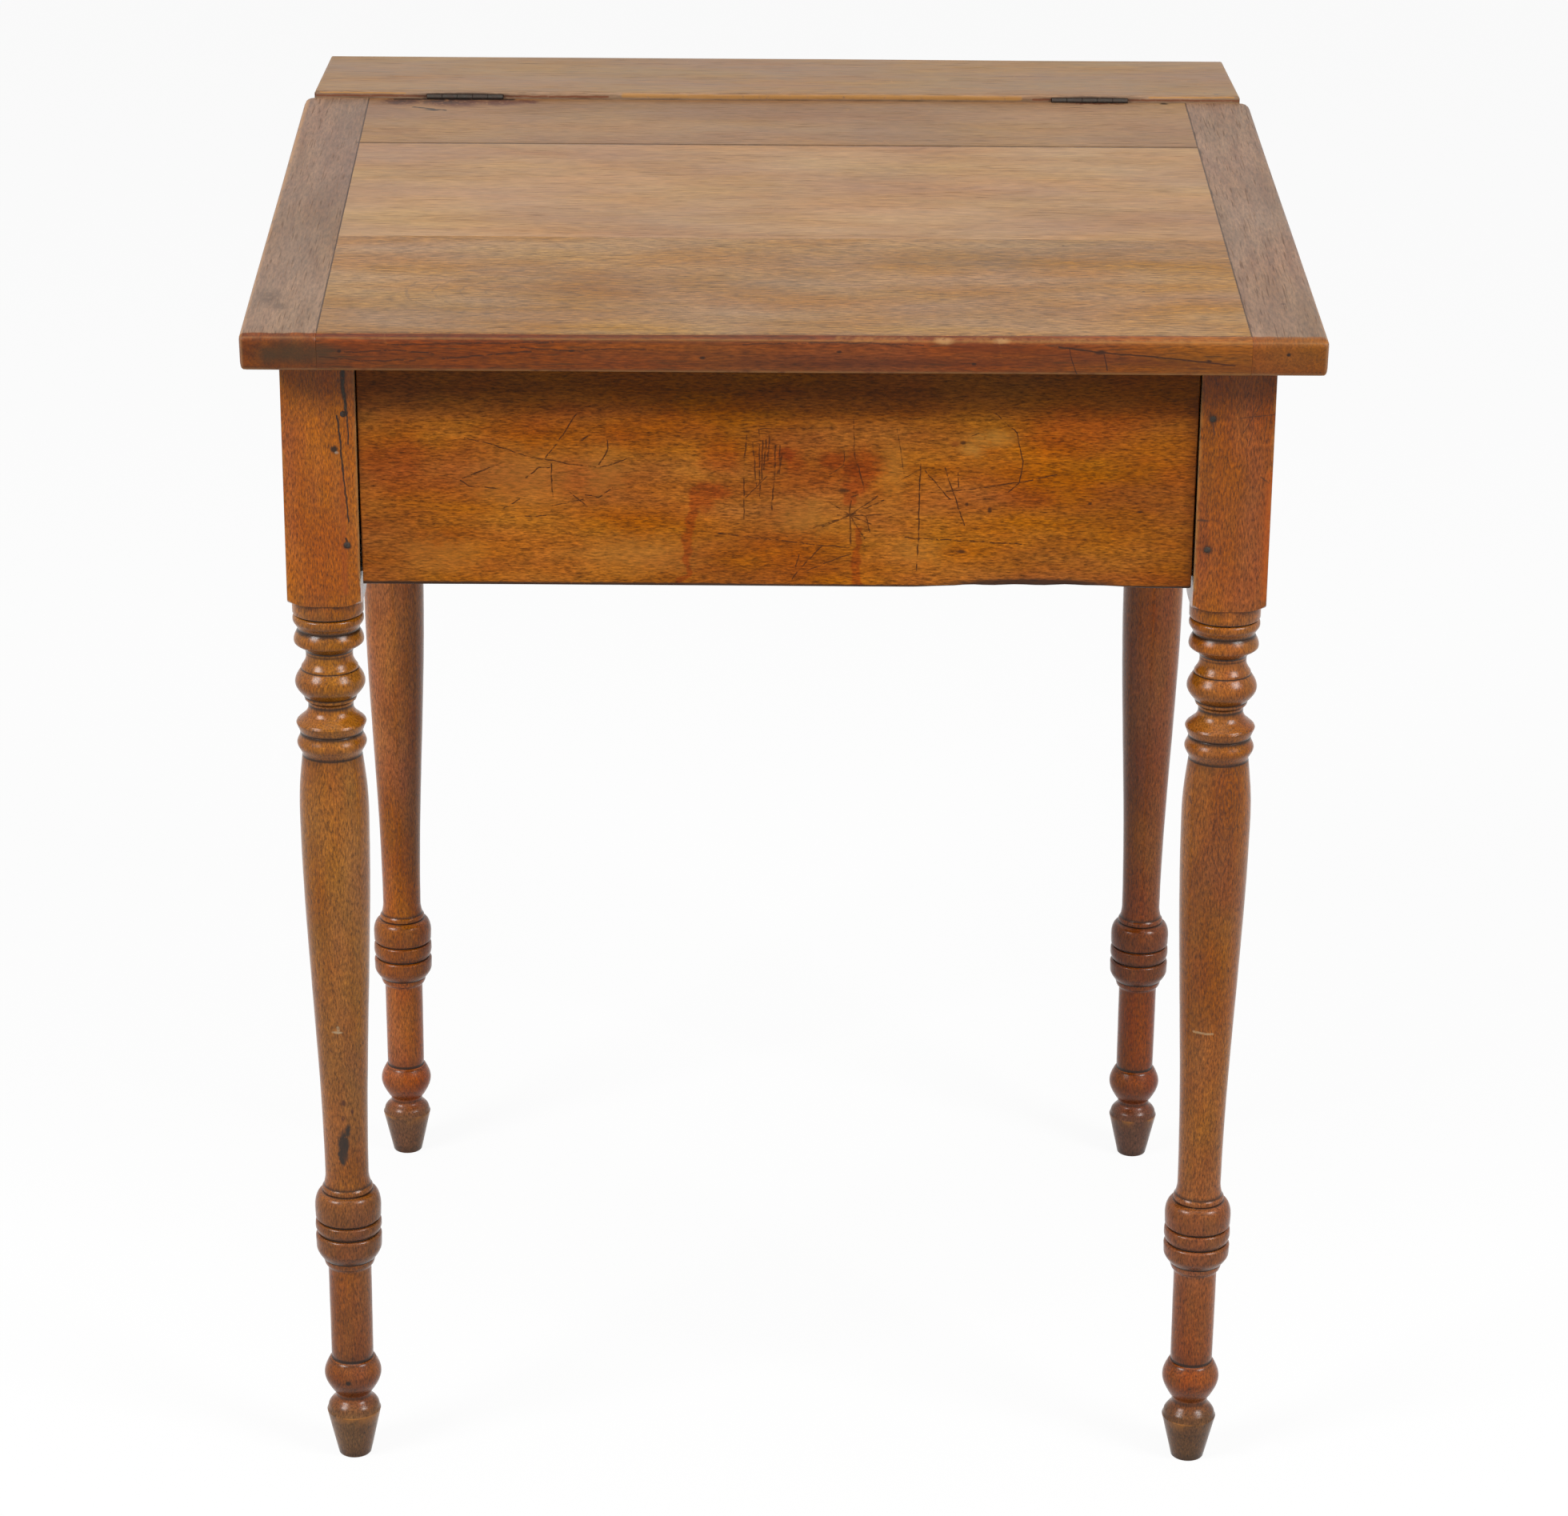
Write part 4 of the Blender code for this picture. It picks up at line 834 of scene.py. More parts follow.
# aprons round the well
apronMarks = (
    # painted shadow of the lid's overhang: the top band of the front apron darkened, full above z 817 and gone
    # below z 804
    mark((0.6, 0.55, 0.5), 0.9, (48, -286, 852, 286, 852), core=0.72, gaps=(0.0, 0.2), way="MULTIPLY"),
    # darker towards the posts at both ends: painted shade in the corners where the apron meets the posts, with
    # dirt
    mark((0.45, 0.42, 0.45), 0.85, (15, 288, 690, 288, 820), (8, -288, 760, -288, 820), core=0.05,
        gaps=(0.0, 0.3), way="MULTIPLY"),
    mark((0.52, 0.22, 0.035), 0.28, (-172, 764, 58, 36), (-96, 712, 62, 20), (18, 738, 34, 20),
        (-226, 712, 46, 18), (79, 772, 14, 28), (-120, 770, 26, 30), (96, 715, 30, 16), core=0.05,
        gaps=(0.0, 0.4), shake=0.02),
    mark((0.84, 0.56, 0.5), 0.6, (-40, 782, 22, 20), (-8, 781, 18, 15), (11, 779, 11, 14),
        (205, 800, 60, 26), (-262, 780, 30, 40), core=0.3, gaps=(0.0, 0.5), shake=0.008, way="MULTIPLY"),
    mark((0.84, 0.56, 0.48), 0.9, (4.6, -57, 758, -58, 744, -60.4, 735, -62.2, 722),
        (3.0, -62.2, 722, -60.4, 715, -62.2, 708), (2.8, -62.2, 708, -61.3, 698, -67.7, 692),
        (3.6, 54.6, 731, 54.7, 721), (3.9, 54.7, 717, 53.9, 711, 54, 702, 55.1, 690), (-47, 757, 19, 9),
        (-51, 751, 11, 11), (57, 776, 18, 18), (38, 780, 13, 8), (54, 761, 13, 8), (49, 752, 6, 7),
        (6, 784, 8, 7), core=0.4, gaps=(0.0, 0.45), shake=0.008, way="MULTIPLY"),
    mark((0.52, 0.24, 0.04), 0.5, (145, 796, 25, 10), (132, 788, 13, 8), core=0.1, gaps=(0.1, 0.5),
        shake=0.006),
    mark((0.20, 0.05, 0.008), 0.7, (120.6, 791.8, 5.5, 3.2), core=0.2),
    mark((0.04, 0.014, 0.005), 0.85, (125.8, 792.6, 3.0, 2.0), (144.9, 745, 2.3, 3.4), (129, 749, 1.8, 1.8),
        (213.2, 750.2, 1.9, 1.4), (247.6, 744.3, 3.0, 1.3), (126, 715, 5, 1.8), (45.1, 758.3, 6.5, 2.2),
        (-39.5, 727.2, 2.6, 1.1), core=0.3, gaps=(0.1, 0.45)),
    # dark along the apron's foot and in its worn hollow: painted shade where the edge turns under, with wear
    mark((0.035, 0.02, 0.014), 0.9, (2.6, -286, 689.8, -40, 689.6),
        (2.0, -40, 689.6, 90, 689.4, 286, 689.6), (175, 692, 72, 5), core=0.5, gaps=(0.0, 0.3)),
    mark((0.05, 0.016, 0.005), 0.85,
        *fanLines(0.75, (49.4, 740.7), (49.7, 751), (34.3, 750.6), (40.7, 741), (24.4, 731.5),
            (30.8, 732.5), (50.1, 719.2), (59.7, 724.1), (63.6, 734.6), (72.5, 751.8), (67.9, 754.6),
            (71.7, 741.3)),
        (0.7, -40.3, 727.3, -4.7, 723.2, 30, 719.1, 49.2, 717.8), (0.65, 31, 719.1, 21, 708.5, 10.1, 695),
        (0.6, 14.6, 712.3, 12.4, 700.8), (0.6, 50.2, 713.5, 35.6, 707.6, 20.2, 700.8),
        (0.7, 50.8, 808.3, 52, 783.9, 59.7, 757.4, 49.7, 753.6), (0.6, 58.9, 746, 63.2, 728.9),
        (0.55, 44.7, 788.5, 44.9, 776.3, 35, 769.6), (0.7, -21.4, 796.6, -23.2, 773, -23, 737),
        (0.65, -17.3, 791.9, -14.9, 761.7), (0.75, -12.9, 801.3, -12.2, 754.1),
        (0.8, -10.6, 796.7, -10.9, 765.5), (0.8, -8.3, 793.9, -9.5, 773.1), (0.8, -6.1, 796.7, -6.9, 779.7),
        (0.8, -1.9, 790.1, -2.3, 768.4, -4.8, 739), (0.8, 1.2, 790.1, 0.9, 770.3),
        (0.8, 2.6, 782.6, -0.4, 769.4), (0.5, -12, 801.8, 18.3, 802), (0.5, 23, 791.2, 36.5, 796),
        (0.55, -7.7, 767.9, -22.2, 752.7), (0.5, 80.5, 764.2, 96.6, 773.7), (0.5, 80.7, 801.9, 85.8, 770.8),
        gaps=(0.3, 0.58), shake=0.002),
    mark((0.05, 0.016, 0.005), 0.95, (0.7, -214.7, 765.4, -190.7, 775.6),
        (0.6, -212.7, 794.1, -193.4, 789.5, -172.7, 781.9, -140.1, 775.9, -123.7, 773.7),
        (0.7, -157.9, 780.5, -144.3, 799.1, -138.3, 809.9, -130.8, 816.9, -121.9, 817.7),
        (0.75, -116.1, 793.1, -115.4, 786.9, -121.5, 776),
        (0.6, -122.2, 773.7, -111.8, 776.1, -101.3, 780.8),
        (0.7, -131.3, 754.2, -122.4, 752.7, -112.6, 759), (0.55, -153.8, 746.3, -132.9, 751.1),
        (0.55, -182.3, 738.3, -158.4, 739.2), (0.8, -154.2, 775.8, -153.7, 752.5),
        (0.6, -143.2, 757.3, -131.4, 747.2), (0.7, -186.7, 744.5, -176.2, 750.8),
        (0.7, -171.5, 766.4, -162.4, 773.5, -155.7, 773.5), (1.0, -134, 792.2, -128.7, 796.1),
        (0.6, -216.2, 763.8, -210.3, 760, -191, 758.5), (0.75, 96.9, 777.7, 96.5, 735.4, 95.6, 701.4),
        (0.65, 100, 773, 117.7, 752), (0.65, 113.5, 774.6, 127.8, 734), (0.6, 122.5, 771.6, 123.5, 761.4),
        (0.65, 115.3, 758.2, 137.8, 760.7, 164.7, 764.8, 190, 770.4),
        (0.65, 147, 813.6, 162.2, 799.8, 166.5, 779.6, 164.7, 764.8, 157.3, 757.7),
        (0.7, 87.3, 725.1, 126.6, 722.9, 167.3, 720.8), (0.55, 130.9, 797.3, 136.8, 799.7),
        gaps=(0.3, 0.55), shake=0.002),
)

apronLook = {
    **plainWood, "light": (0.39, 0.122, 0.011), "deep": (0.275, 0.072, 0.006), "late": (0.18, 0.042, 0.005),
    "fleck": (0.06, 0.016, 0.004), "wornAndRimLight": (0.45, 0.18, 0.035),
    "seed": 21.0, "pith": (-0.30, 0.70), "drift": 0.02, "swayScale": (2.4, 8), "ring": 0.0065,
    "cloudScale": (10, 30), "figure": 0.14, "streaks": 0.16, "fibreScale": (210, 1000), "fibres": 3.1,
    "blushScale": (14, 34), "paling": 0.12, "fleckScale": (220, 1100), "flecks": 0.45,
    "wear": 0.5, "wearGaps": (0.4, 0.6), "gloss": 0.12,
    "dirt": {"axis": 0, "reach": 0.09, "strength": 0.4, "colour": (0.2, 0.052, 0.007)},
}
apronBoard = {"smallRound": 0.0008, "largeRound": 0.0025, "step": 0.007, "chips": 0.004, "uneven": 0.00025}
apronRim = 0.004  # so much of a side apron's top moves as one
# worn hollow under the front apron
apronScoop = {"from": 0.098, "to": 0.252, "rise": 0.0030, "reach": 0.010, "full": 0.7, "uneven": 0.3, "scale": 60}
apronGap = {"top": 0.0004, "foot": 0.0013}  # dried joint, open towards its foot
rubbedEdge = {"axis": 2, "side": 1, "light": (0.33, 0.16, 0.055), "deep": (0.21, 0.095, 0.03)}


def shrunkEnds(point, low, high):
    share = (point.z - low.z) / (high.z - low.z)
    opened = apronGap["foot"] + (apronGap["top"] - apronGap["foot"]) * share
    middle = (low.x + high.x) / 2
    point.x -= opened * (point.x - middle) / (high.x - middle)
    return point


def makeCrossApron(end, look, marks):
    nodeLow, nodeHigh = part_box("apron_" + end)
    shoulder = legX - postHalf - fitGap
    low = Vector((-shoulder, nodeLow.y, nodeLow.z))
    high = Vector((shoulder, nodeHigh.y, nodeHigh.z))
    front = end == "front"
    eased = ((1, 2), (-1 if front else 1, -1), apronBoard["largeRound"])
    make = {**apronBoard, "seed": look["seed"], "eased": (eased,)}

    def reshape(point):
        if front and point.z > high.z - endZone:
            point.z += lidBed(point.y) - lidBed(high.y)
        fromFoot = point.z - low.z
        if front and apronScoop["from"] < point.x < apronScoop["to"] and fromFoot < apronScoop["reach"]:
            share = (point.x - apronScoop["from"]) / (apronScoop["to"] - apronScoop["from"])
            towardsFace = (high.y - point.y) / (high.y - low.y)
            rough = 1 - apronScoop["uneven"] + apronScoop["uneven"] * noise.noise(point * apronScoop["scale"])
            hollow = math.sin(share * math.pi) ** apronScoop["full"] * rough
            point.z += apronScoop["rise"] * hollow * (1 - fromFoot / apronScoop["reach"]) * towardsFace
        return shrunkEnds(point, low, high)

    inside = {"axis": 1, "side": 1 if front else -1, **innerTones}
    look = {**look, "sides": (inside, rubbedEdge)}
    finish = woodFinish("apron_wood_" + end, look, low, high, 0, marks=marks)
    mesh = boardMesh("apron", low, high, make, reshape)
    placePiece(f"{end}_apron_board", mesh, finish, "frame", "apron_wood", "apron_" + end)


def makeSideApron(side, sign):
    low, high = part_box("apron_" + side)
    low, high = Vector(low), Vector(high)
    low.y = legFrontY + postHalf + fitGap
    high.y = legBackY - postHalf - fitGap
    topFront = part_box("fixed_top")[0].y
    eased = ((0, 2), (sign, -1), apronBoard["largeRound"])
    make = {**apronBoard, "seed": 30 + sign, "eased": (eased,)}

    def reshape(point):  # the top follows the lid's slope, then steps up under the fixed top
        fromTop = high.z - point.z
        share = (point.z - low.z) / (high.z - low.z)
        if point.y < topFront:
            bed = lidBed(point.y)
            point.z = low.z + share * (bed - low.z) if fromTop > apronRim else bed - fromTop
        return point

    look = {**apronLook, "seed": 40.0 + sign, "pith": (sign * 0.02, 0.68), "figure": 0.25,
            "dirt": {**apronLook["dirt"], "axis": 1},
            "sides": ({"axis": 0, "side": -sign, **innerTones}, rubbedEdge)}
    finish = woodFinish("apron_wood_" + side, look, low, high, 1)
    mesh = boardMesh("apron", low, high, make, reshape)
    placePiece(f"{side}_apron_board", mesh, finish, "frame", "apron_wood", "apron_" + side)


makeCrossApron("front", apronLook, ((frontFace, apronMarks),))
makeCrossApron("back", {**apronLook, "seed": 27.0, "pith": (0.34, 0.60)}, ())
makeSideApron("left", -1)
makeSideApron("right", 1)
print("aprons made")

# boards inside the well: rough sawn, unfinished, dusty
innerLook = {
    **plainWood, **innerTones,
    "late": (0.15, 0.075, 0.03), "fleck": (0.06, 0.03, 0.013), "wornAndRimLight": (0.36, 0.23, 0.12),
    "pith": (0.1, 0.55), "swayScale": (2.0, 7), "ring": 0.006,
    "cloudScale": (6, 16), "figure": 0.35, "streaks": 0.3, "fibreScale": (60, 900), "fibres": 1.1,
    "blushScale": (8, 24), "paling": 0.2, "fleckScale": (110, 900),
    "wear": 0.4, "wearGaps": (0.35, 0.6), "scratches": 0.25, "relief": 0.5, "rough": 0.68, "gloss": 0.2,
}
innerBoard = {"smallRound": 0.0008, "largeRound": 0.0016, "step": 0.016, "chips": 0.003, "uneven": 0.0002}
notchPast = 0.01  # a notch is cut this far past the board


def makeInnerBoards():
    for index, place in enumerate(("front", "middle", "rear")):
        node = "well_floor_" + place
        low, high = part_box(node)
        mesh = boardMesh("floor", low, high, {**innerBoard, "seed": 50 + index})
        notches = []
        for legY in (legFrontY, legBackY):
            for x in (-legX, legX):
                reach = postHalf + fitGap
                if low.y < legY + reach and high.y > legY - reach:
                    notches.append(boxMesh((x - reach, legY - reach, low.z - notchPast),
                                           (x + reach, legY + reach, high.z + notchPast)))
        if notches:
            mesh = carved(mesh, notches)
        finish = woodFinish("inner_wood_" + node, {**innerLook, "seed": 60.0 + 3 * index}, low, high, 0)
        placePiece(f"well_bottom_{place}", mesh, finish, "frame", "inner_wood", node)
    strips = [("floor_cleat_" + end, 0) for end in ("front", "back")]
    strips += [("floor_cleat_" + side, 1) for side in ("left", "right")]
    strips += [("glue_block_back_" + side, 0) for side in ("left", "right")]
    strips += [("glue_block_" + side, 1) for side in ("left", "right")]
    for index, (node, along) in enumerate(strips):
        low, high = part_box(node)
        finish = woodFinish("inner_wood_" + node, {**innerLook, "seed": 80.0 + 3 * index}, low, high, along)
        mesh = boardMesh(node, low, high, {**innerBoard, "seed": 70 + index})
        name = node.replace("floor_", "well_").replace("glue_", "corner_")
        placePiece(name, mesh, finish, "frame", "inner_wood", node)


makeInnerBoards()
print("well boards made")

# hinges: leaves hang in the joint, barrels along its upper edge
hinge = {
    "centres": (-0.2393, 0.2393),
    "Length": 0.058, "Depth": 0.018, "Thickness": 0.0014, "Barrel": 0.0022, "Knuckles": 5, "Gap": 0.0004,
    "Corner": 0.0012, "spacing": 0.0004,
    "Screws": 3, "Pitch": 0.02, "Drop": 0.011, "Head": 0.0026, "Sink": 0.0012, "Shank": 0.0012, "Reach": 0.0128,
    "point": 0.0002, "slot": (0.007, 0.0005, 0.001), "weld": 0.00001,
}
ironLook = {
    "bright": (0.055, 0.047, 0.04), "rust": (0.035, 0.016, 0.009), "dark": (0.01, 0.008, 0.006),
    "seed": 3.0, "rough": 0.5, "metal": 1.0, "gloss": 0.5,
}
pinLook = {
    "bright": (0.06, 0.05, 0.042), "rust": (0.05, 0.026, 0.016), "dark": (0.015, 0.01, 0.008),
    "seed": 7.0, "rough": 0.7, "metal": 0.2, "gloss": 0.15,
}
darkIron = ironFinish("dark_iron", ironLook)
pinIron = ironFinish("pin_iron", pinLook)


def topCutters():
    # room for the barrels and leaves in the boards on both sides of the joint
    tools = {"fixed": [], "lid": []}
    half, inset, gap = hinge["Length"] / 2, hinge["spacing"] / 2, hinge["Gap"]
    for x in hinge["centres"]:
        for kind, sign in (("fixed", 1), ("lid", -1)):
            near = hingeAxis.y + sign * (inset - fitGap)
            far = hingeAxis.y + sign * (inset + hinge["Thickness"] + fitGap)
            tools[kind].append(boxMesh(
                (x - half - fitGap, min(near, far), hingeAxis.z - hinge["Depth"] - fitGap),
                (x + half + fitGap, max(near, far), hingeAxis.z + fitGap)))
            tools[kind].append(rodMesh(
                hinge["Barrel"] + gap, (x - half - gap, hingeAxis.y, hingeAxis.z),
                (x + half + gap, hingeAxis.y, hingeAxis.z)))
    return tools


cutters = topCutters()

# level board along the back
topLook = {
    **plainWood, "light": (0.27, 0.135, 0.034), "deep": (0.21, 0.094, 0.020), "late": (0.135, 0.05, 0.010),
    "fleck": (0.05, 0.02, 0.006), "wornAndRimLight": (0.50, 0.235, 0.06),
    "seed": 101.0, "pith": (0.34, 0.78), "swayScale": (1.8, 8), "ring": 0.0055,
    "cloudScale": (5, 16), "figure": 0.16, "fibreScale": (60, 640), "fibres": 1.6,
    "blushScale": (6, 22), "paling": 0.4, "fleckScale": (40, 900), "flecks": 0.45,
    "wear": 0.08, "wearGaps": (0.3, 0.55), "relief": 0.16, "gloss": 0.26,
    "sides": (
        # front face and its rounding painted a paler, greyer tan: a painted sheen that matches the top seen at a
        # slant
        {"axis": 1, "side": -1, "turn": (0.05, 0.4), "light": (0.27, 0.165, 0.10), "deep": (0.19, 0.11, 0.063)},
        {"axis": 2, "side": -1, **innerTones},
    ),
}
topMarks = (
    mark((0.07, 0.03, 0.012), 0.8, (337, 185, 3.4, 2.2), (329, 190, 2, 1.4)),
    mark((0.12, 0.06, 0.025), 0.5, (0.8, -300, 240, -262, 246), (0.7, 150, 270, 212, 262)),
)
topEdgeMarks = (
    mark((0.40, 0.19, 0.045), 0.75, (2.6, -118, 934.6, -40, 934.0, 60, 934.6, 186, 934.2),
        (0.7, -350, 935.6, -285, 935.4), (0.8, 285, 935.4, 350, 935.8), gaps=(0.15, 0.45)),
    mark((0.15, 0.035, 0.012), 0.75, (1.3, -355, 933.4, -130, 933.4), (1.3, 196, 933.4, 355, 933.4),
        gaps=(0.1, 0.45)),
    mark((0.02, 0.009, 0.005), 0.8, (-240, 934, 52, 3), (240, 934, 46, 3), gaps=(0.0, 0.4)),
)
topBoard = {
    "smallRound": 0.0016, "largeRound": 0.0025, "step": 0.008, "chips": 0.004, "uneven": 0.0002, "seed": 101,
}
upFace = (0, 1, 2, 1)


def makeFixedTop():
    low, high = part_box("fixed_top")
    sides = ((-1, 1), (1, 1), (-1, -1), (1, -1))
    eased = [(axes, pair, topBoard["largeRound"]) for axes in ((1, 2), (0, 2)) for pair in sides]
    mesh = boardMesh("top", low, high, {**topBoard, "eased": eased})
    mesh = carved(mesh, cutters["fixed"])
    marks = ((upFace, topMarks), (frontFace, topEdgeMarks))
    finish = woodFinish("top_wood", topLook, Vector(low), Vector(high), 0, marks=marks)
    placePiece("back_ledge_board", mesh, finish, "frame", "top_wood", "fixed_top")


makeFixedTop()
print("fixed top made")

# lid, in lid coordinates: y along the slope and z square to it, from the hinge axis
lidMake = {
    "front": -0.4936, "firstSeam": -0.3028, "secondSeam": -0.1045, "upper": -0.0006, "lower": -0.0260,
    "half": 0.3615, "inner": 0.3125, "backGap": 0.001, "seam": 0.00002, "openSeam": 0.0011,
    "frontRound": 0.007, "underRound": 0.003, "endRound": 0.004, "frontCorner": 0.005, "backCorner": 0.009,
    # how far the front has crept sideways, at four places across
    "creep": ((-0.3615, 0.0019), (-0.3125, 0.0045), (0.3125, 0.0028), (0.3615, 0.0052)),
}
lidBoard = {"smallRound": 0.0001, "largeRound": 0.0025, "step": 0.007, "chips": 0.003, "uneven": 0.0002}
lidLook = {
    **plainWood, "light": (0.30, 0.155, 0.048), "deep": (0.23, 0.107, 0.030), "late": (0.165, 0.065, 0.014),
    "fleck": (0.06, 0.024, 0.007), "wornAndRimLight": (0.50, 0.235, 0.065),
    "drift": 0.02, "sway": 0.035, "swayScale": (1.6, 7), "ring": 0.007,
    "cloudScale": (5, 15), "figure": 0.12, "fibreScale": (80, 680), "fibres": 1.3,
    "blushScale": (6, 20), "paling": 0.3, "fleckScale": (40, 900),
    "wear": 0.0, "wearWidth": 0.0035, "wearGaps": (0.25, 0.5), "relief": 0.16, "gloss": 0.26,
    "sides": ({"axis": 2, "side": -1, **innerTones},),
}
lidNosing = {
    "at": lidMake["front"], "depth": 0.0072, "skew": 0.004, "goldFrom": (0.17, 0.33), "goldShare": 0.6,
    "light": (0.21, 0.048, 0.005), "deep": (0.10, 0.021, 0.003), "gold": (0.30, 0.10, 0.012),
}
lidEndNosing = {"light": (0.185, 0.042, 0.004), "gold": (0.25, 0.078, 0.008)}
lidSmudge = mark((0.05, 0.030, 0.012), 0.75, (-324, -13, 30, 14), (-306, -13, 28, 12), (-338, -14, 18, 12),
    core=0.1, gaps=(0.0, 0.4), shake=0.004)
lidSeams = mark((0.03, 0.014, 0.008), 0.8, (0.9, -312.6, 0, -308.2, -485), (0.9, 312.6, 0, 315.2, -485),
    (2.6, -312, -104.4, 312, -104.4), core=0.2, gaps=(0.15, 0.45), shake=0.0006)
lidPieces = {
    "lid_front_plank": {
        "node": "lid_board_front", "slot": "lid_wood", "from": "front", "to": "firstSeam", "along": 0,
        "look": {"seed": 111.0, "pith": (-0.46, -0.05), "drift": 0.03, "wear": 0.75, "fibres": 2.6,
                 "flecks": 0.7, "fibreScale": (120, 800), "paling": 0.6, "scratches": 0.05, "nosing": lidNosing},
        "marks": ((upFace, (
            lidSeams,
            mark((0.06, 0.025, 0.01), 0.8, (200, -314, 1.6, 1.6), (249.5, -403, 1.6, 1.6)),
            mark((0.34, 0.14, 0.03), 0.5, (4.0, 40, -490.5, 345, -491.5), core=0.2, gaps=(0.25, 0.75),
                shake=0.004),
            mark((0.06, 0.02, 0.008), 0.7, (0.9, -350, -486.6, 350, -484.6), gaps=(0.3, 0.55), shake=0.002),
            mark((0.84, 0.86, 0.88), 0.8, (-110, -395, 150, 46), (150, -350, 90, 26), core=0.0,
                gaps=(0.0, 0.3), shake=0.02, way="MULTIPLY"),
            mark((0.12, 0.065, 0.03), 0.45, ovalLine(1.6, (-196, -410), (58, 42), 70, 290),
                ovalLine(1.5, (-192, -410), (44, 31), 60, 300),
                ovalLine(1.4, (-188, -410), (30, 20), 50, 310),
                ovalLine(1.3, (-184, -410), (16, 10), 40, 320), gaps=(0.3, 0.55), shake=0.008),
        )), (frontFace, (
            lidSmudge,
            mark((0.02, 0.007, 0.003), 0.9, (0.8, 186, -5.6, 222, -10, 250, -12, 290, -16.5, 304, -18),
                (0.6, 216, -9, 219, -22), (0.5, 193, -6, 195, -15, 199, -25), (214, -9.3, 5.4, 2.1),
                (286, -15.2, 3.6, 1.7), (-292.6, -11.3, 2, 1.8), (40, -9.8, 2.4, 1.3), (130, -18, 2.4, 1.3),
                (-51, -14.7, 3, 1.3), (-138, -10.2, 3.4, 1.2), gaps=(0.1, 0.4)),
            mark((0.03, 0.009, 0.003), 0.75, (0.8, -289, -12, -254, -10.3, -230, -12.8),
                (0.8, -224, -16.5, -200, -14, -165, -10.5), (0.7, -306, -15.4, -277, -18.2, -242, -17.3),
                (0.8, -178, -7.8, -138, -10.2, -112, -8.6, -84, -9.2),
                (0.8, -260, -6.6, -205, -5.4, -150, -4.6), (0.7, -24, -5, 40, -3.4, 96, -5),
                gaps=(0.3, 0.5), shake=0.002),
            mark((0.10, 0.018, 0.003), 0.45, (5.0, 116, -5.6, 186, -10.5, 257, -17, 330, -21.5), core=0.1,
                gaps=(0.1, 0.5), shake=0.004),
            mark((0.42, 0.23, 0.09), 0.6, (110, -2.6, 9, 3), (148, -2.4, 8, 2.4), core=0.2, gaps=(0.2, 0.5),
                shake=0.003),
        ))),
    },
    "lid_middle_plank": {
        "node": "lid_board_middle", "slot": "lid_wood", "from": "firstSeam", "to": "secondSeam", "along": 0,
        "look": {"seed": 117.0, "pith": (-0.2, -0.35), "figure": 0.15,
                 "light": (0.375, 0.21, 0.090), "deep": (0.305, 0.16, 0.070)},
        "marks": ((upFace, (lidSeams,)),),
    },
    "lid_rear_plank": {
        "node": "lid_board_rear", "slot": "lid_wood", "from": "secondSeam", "to": None, "along": 0,
        "look": {"seed": 123.0, "pith": (-0.05, -0.30),
                 "light": (0.295, 0.16, 0.066), "deep": (0.215, 0.108, 0.048)},
        "marks": ((upFace, (
            lidSeams,
            mark((0.44, 0.23, 0.09), 0.5, (-256, -14, 50, 22), (-226, -12, 46, 20), core=0.0,
                gaps=(0.1, 0.5), shake=0.01),
            mark((0.075, 0.016, 0.004), 0.95, (-286, -9, 24, 12), (-246, -10, 42, 17), (-212, -10, 28, 12),
                (-192, -8, 14, 6), (245, -3, 34, 4), core=0.3, gaps=(0.15, 0.5), shake=0.008),
            mark((0.022, 0.009, 0.004), 0.85, (-288, -8, 19, 10), (-255, -8, 32, 9), core=0.1,
                gaps=(0.3, 0.6), shake=0.008),
            mark((0.01, 0.005, 0.003), 0.95, (1.8, -277, -21.5, -264, -25.5, -252, -29),
                (3.4, -292, -3, -203, -3), (-262, -28, 9, 3.2), (240, -1, 30, 2.4), (296, -3, 5, 3),
                core=0.2, gaps=(0.1, 0.45), shake=0.004),
        )),),
    },
    "lid_left_end": {
        "node": "lid_end_left", "slot": "lid_end_wood", "from": "front", "to": None, "along": 1, "side": -1,
        "look": {"seed": 131.0, "pith": (-0.29, -0.09)},
        "marks": ((upFace, (
            lidSeams,
            mark((0.06, 0.032, 0.02), 0.6, (-345, -424, 14, 20), (-338, -440, 9, 12), core=0.1),
        )), (frontFace, (lidSmudge,))),
    },
    "lid_right_end": {
        "node": "lid_end_right", "slot": "lid_end_wood", "from": "front", "to": None, "along": 1, "side": 1,
        "look": {"seed": 137.0, "pith": (0.30, -0.11)},
        "marks": ((upFace, (
            lidSeams,
            mark((0.05, 0.025, 0.015), 0.8, (314, -114, 2.2, 9), (314, -205, 1.8, 12),
                (342.5, -424.5, 3.2, 2), core=0.2),
        )), (frontFace, (
            mark((0.015, 0.007, 0.004), 0.95, (339.4, -10.2, 2.0, 1.7), gaps=(0.0, 0.5)),
        ))),
    },
}
lidEndLook = {
    "light": (0.255, 0.15, 0.090), "deep": (0.18, 0.10, 0.056), "late": (0.11, 0.05, 0.028),
    "fleck": (0.05, 0.02, 0.010), "wornAndRimLight": (0.44, 0.22, 0.085), "wear": 0.75, "scratches": 0.08, "paling": 0.35,
    "sway": 0.03, "swayScale": (5, 14), "ring": 0.006, "figure": 0.3, "streaks": 0.25, "fibres": 1.7,
    "fibreScale": (120, 680), "nosing": {**lidNosing, **lidEndNosing},
}


def lidBackEdge(height):
    return (height * math.sin(lidSlope) - lidMake["backGap"]) / math.cos(lidSlope)  # the joint is plumb


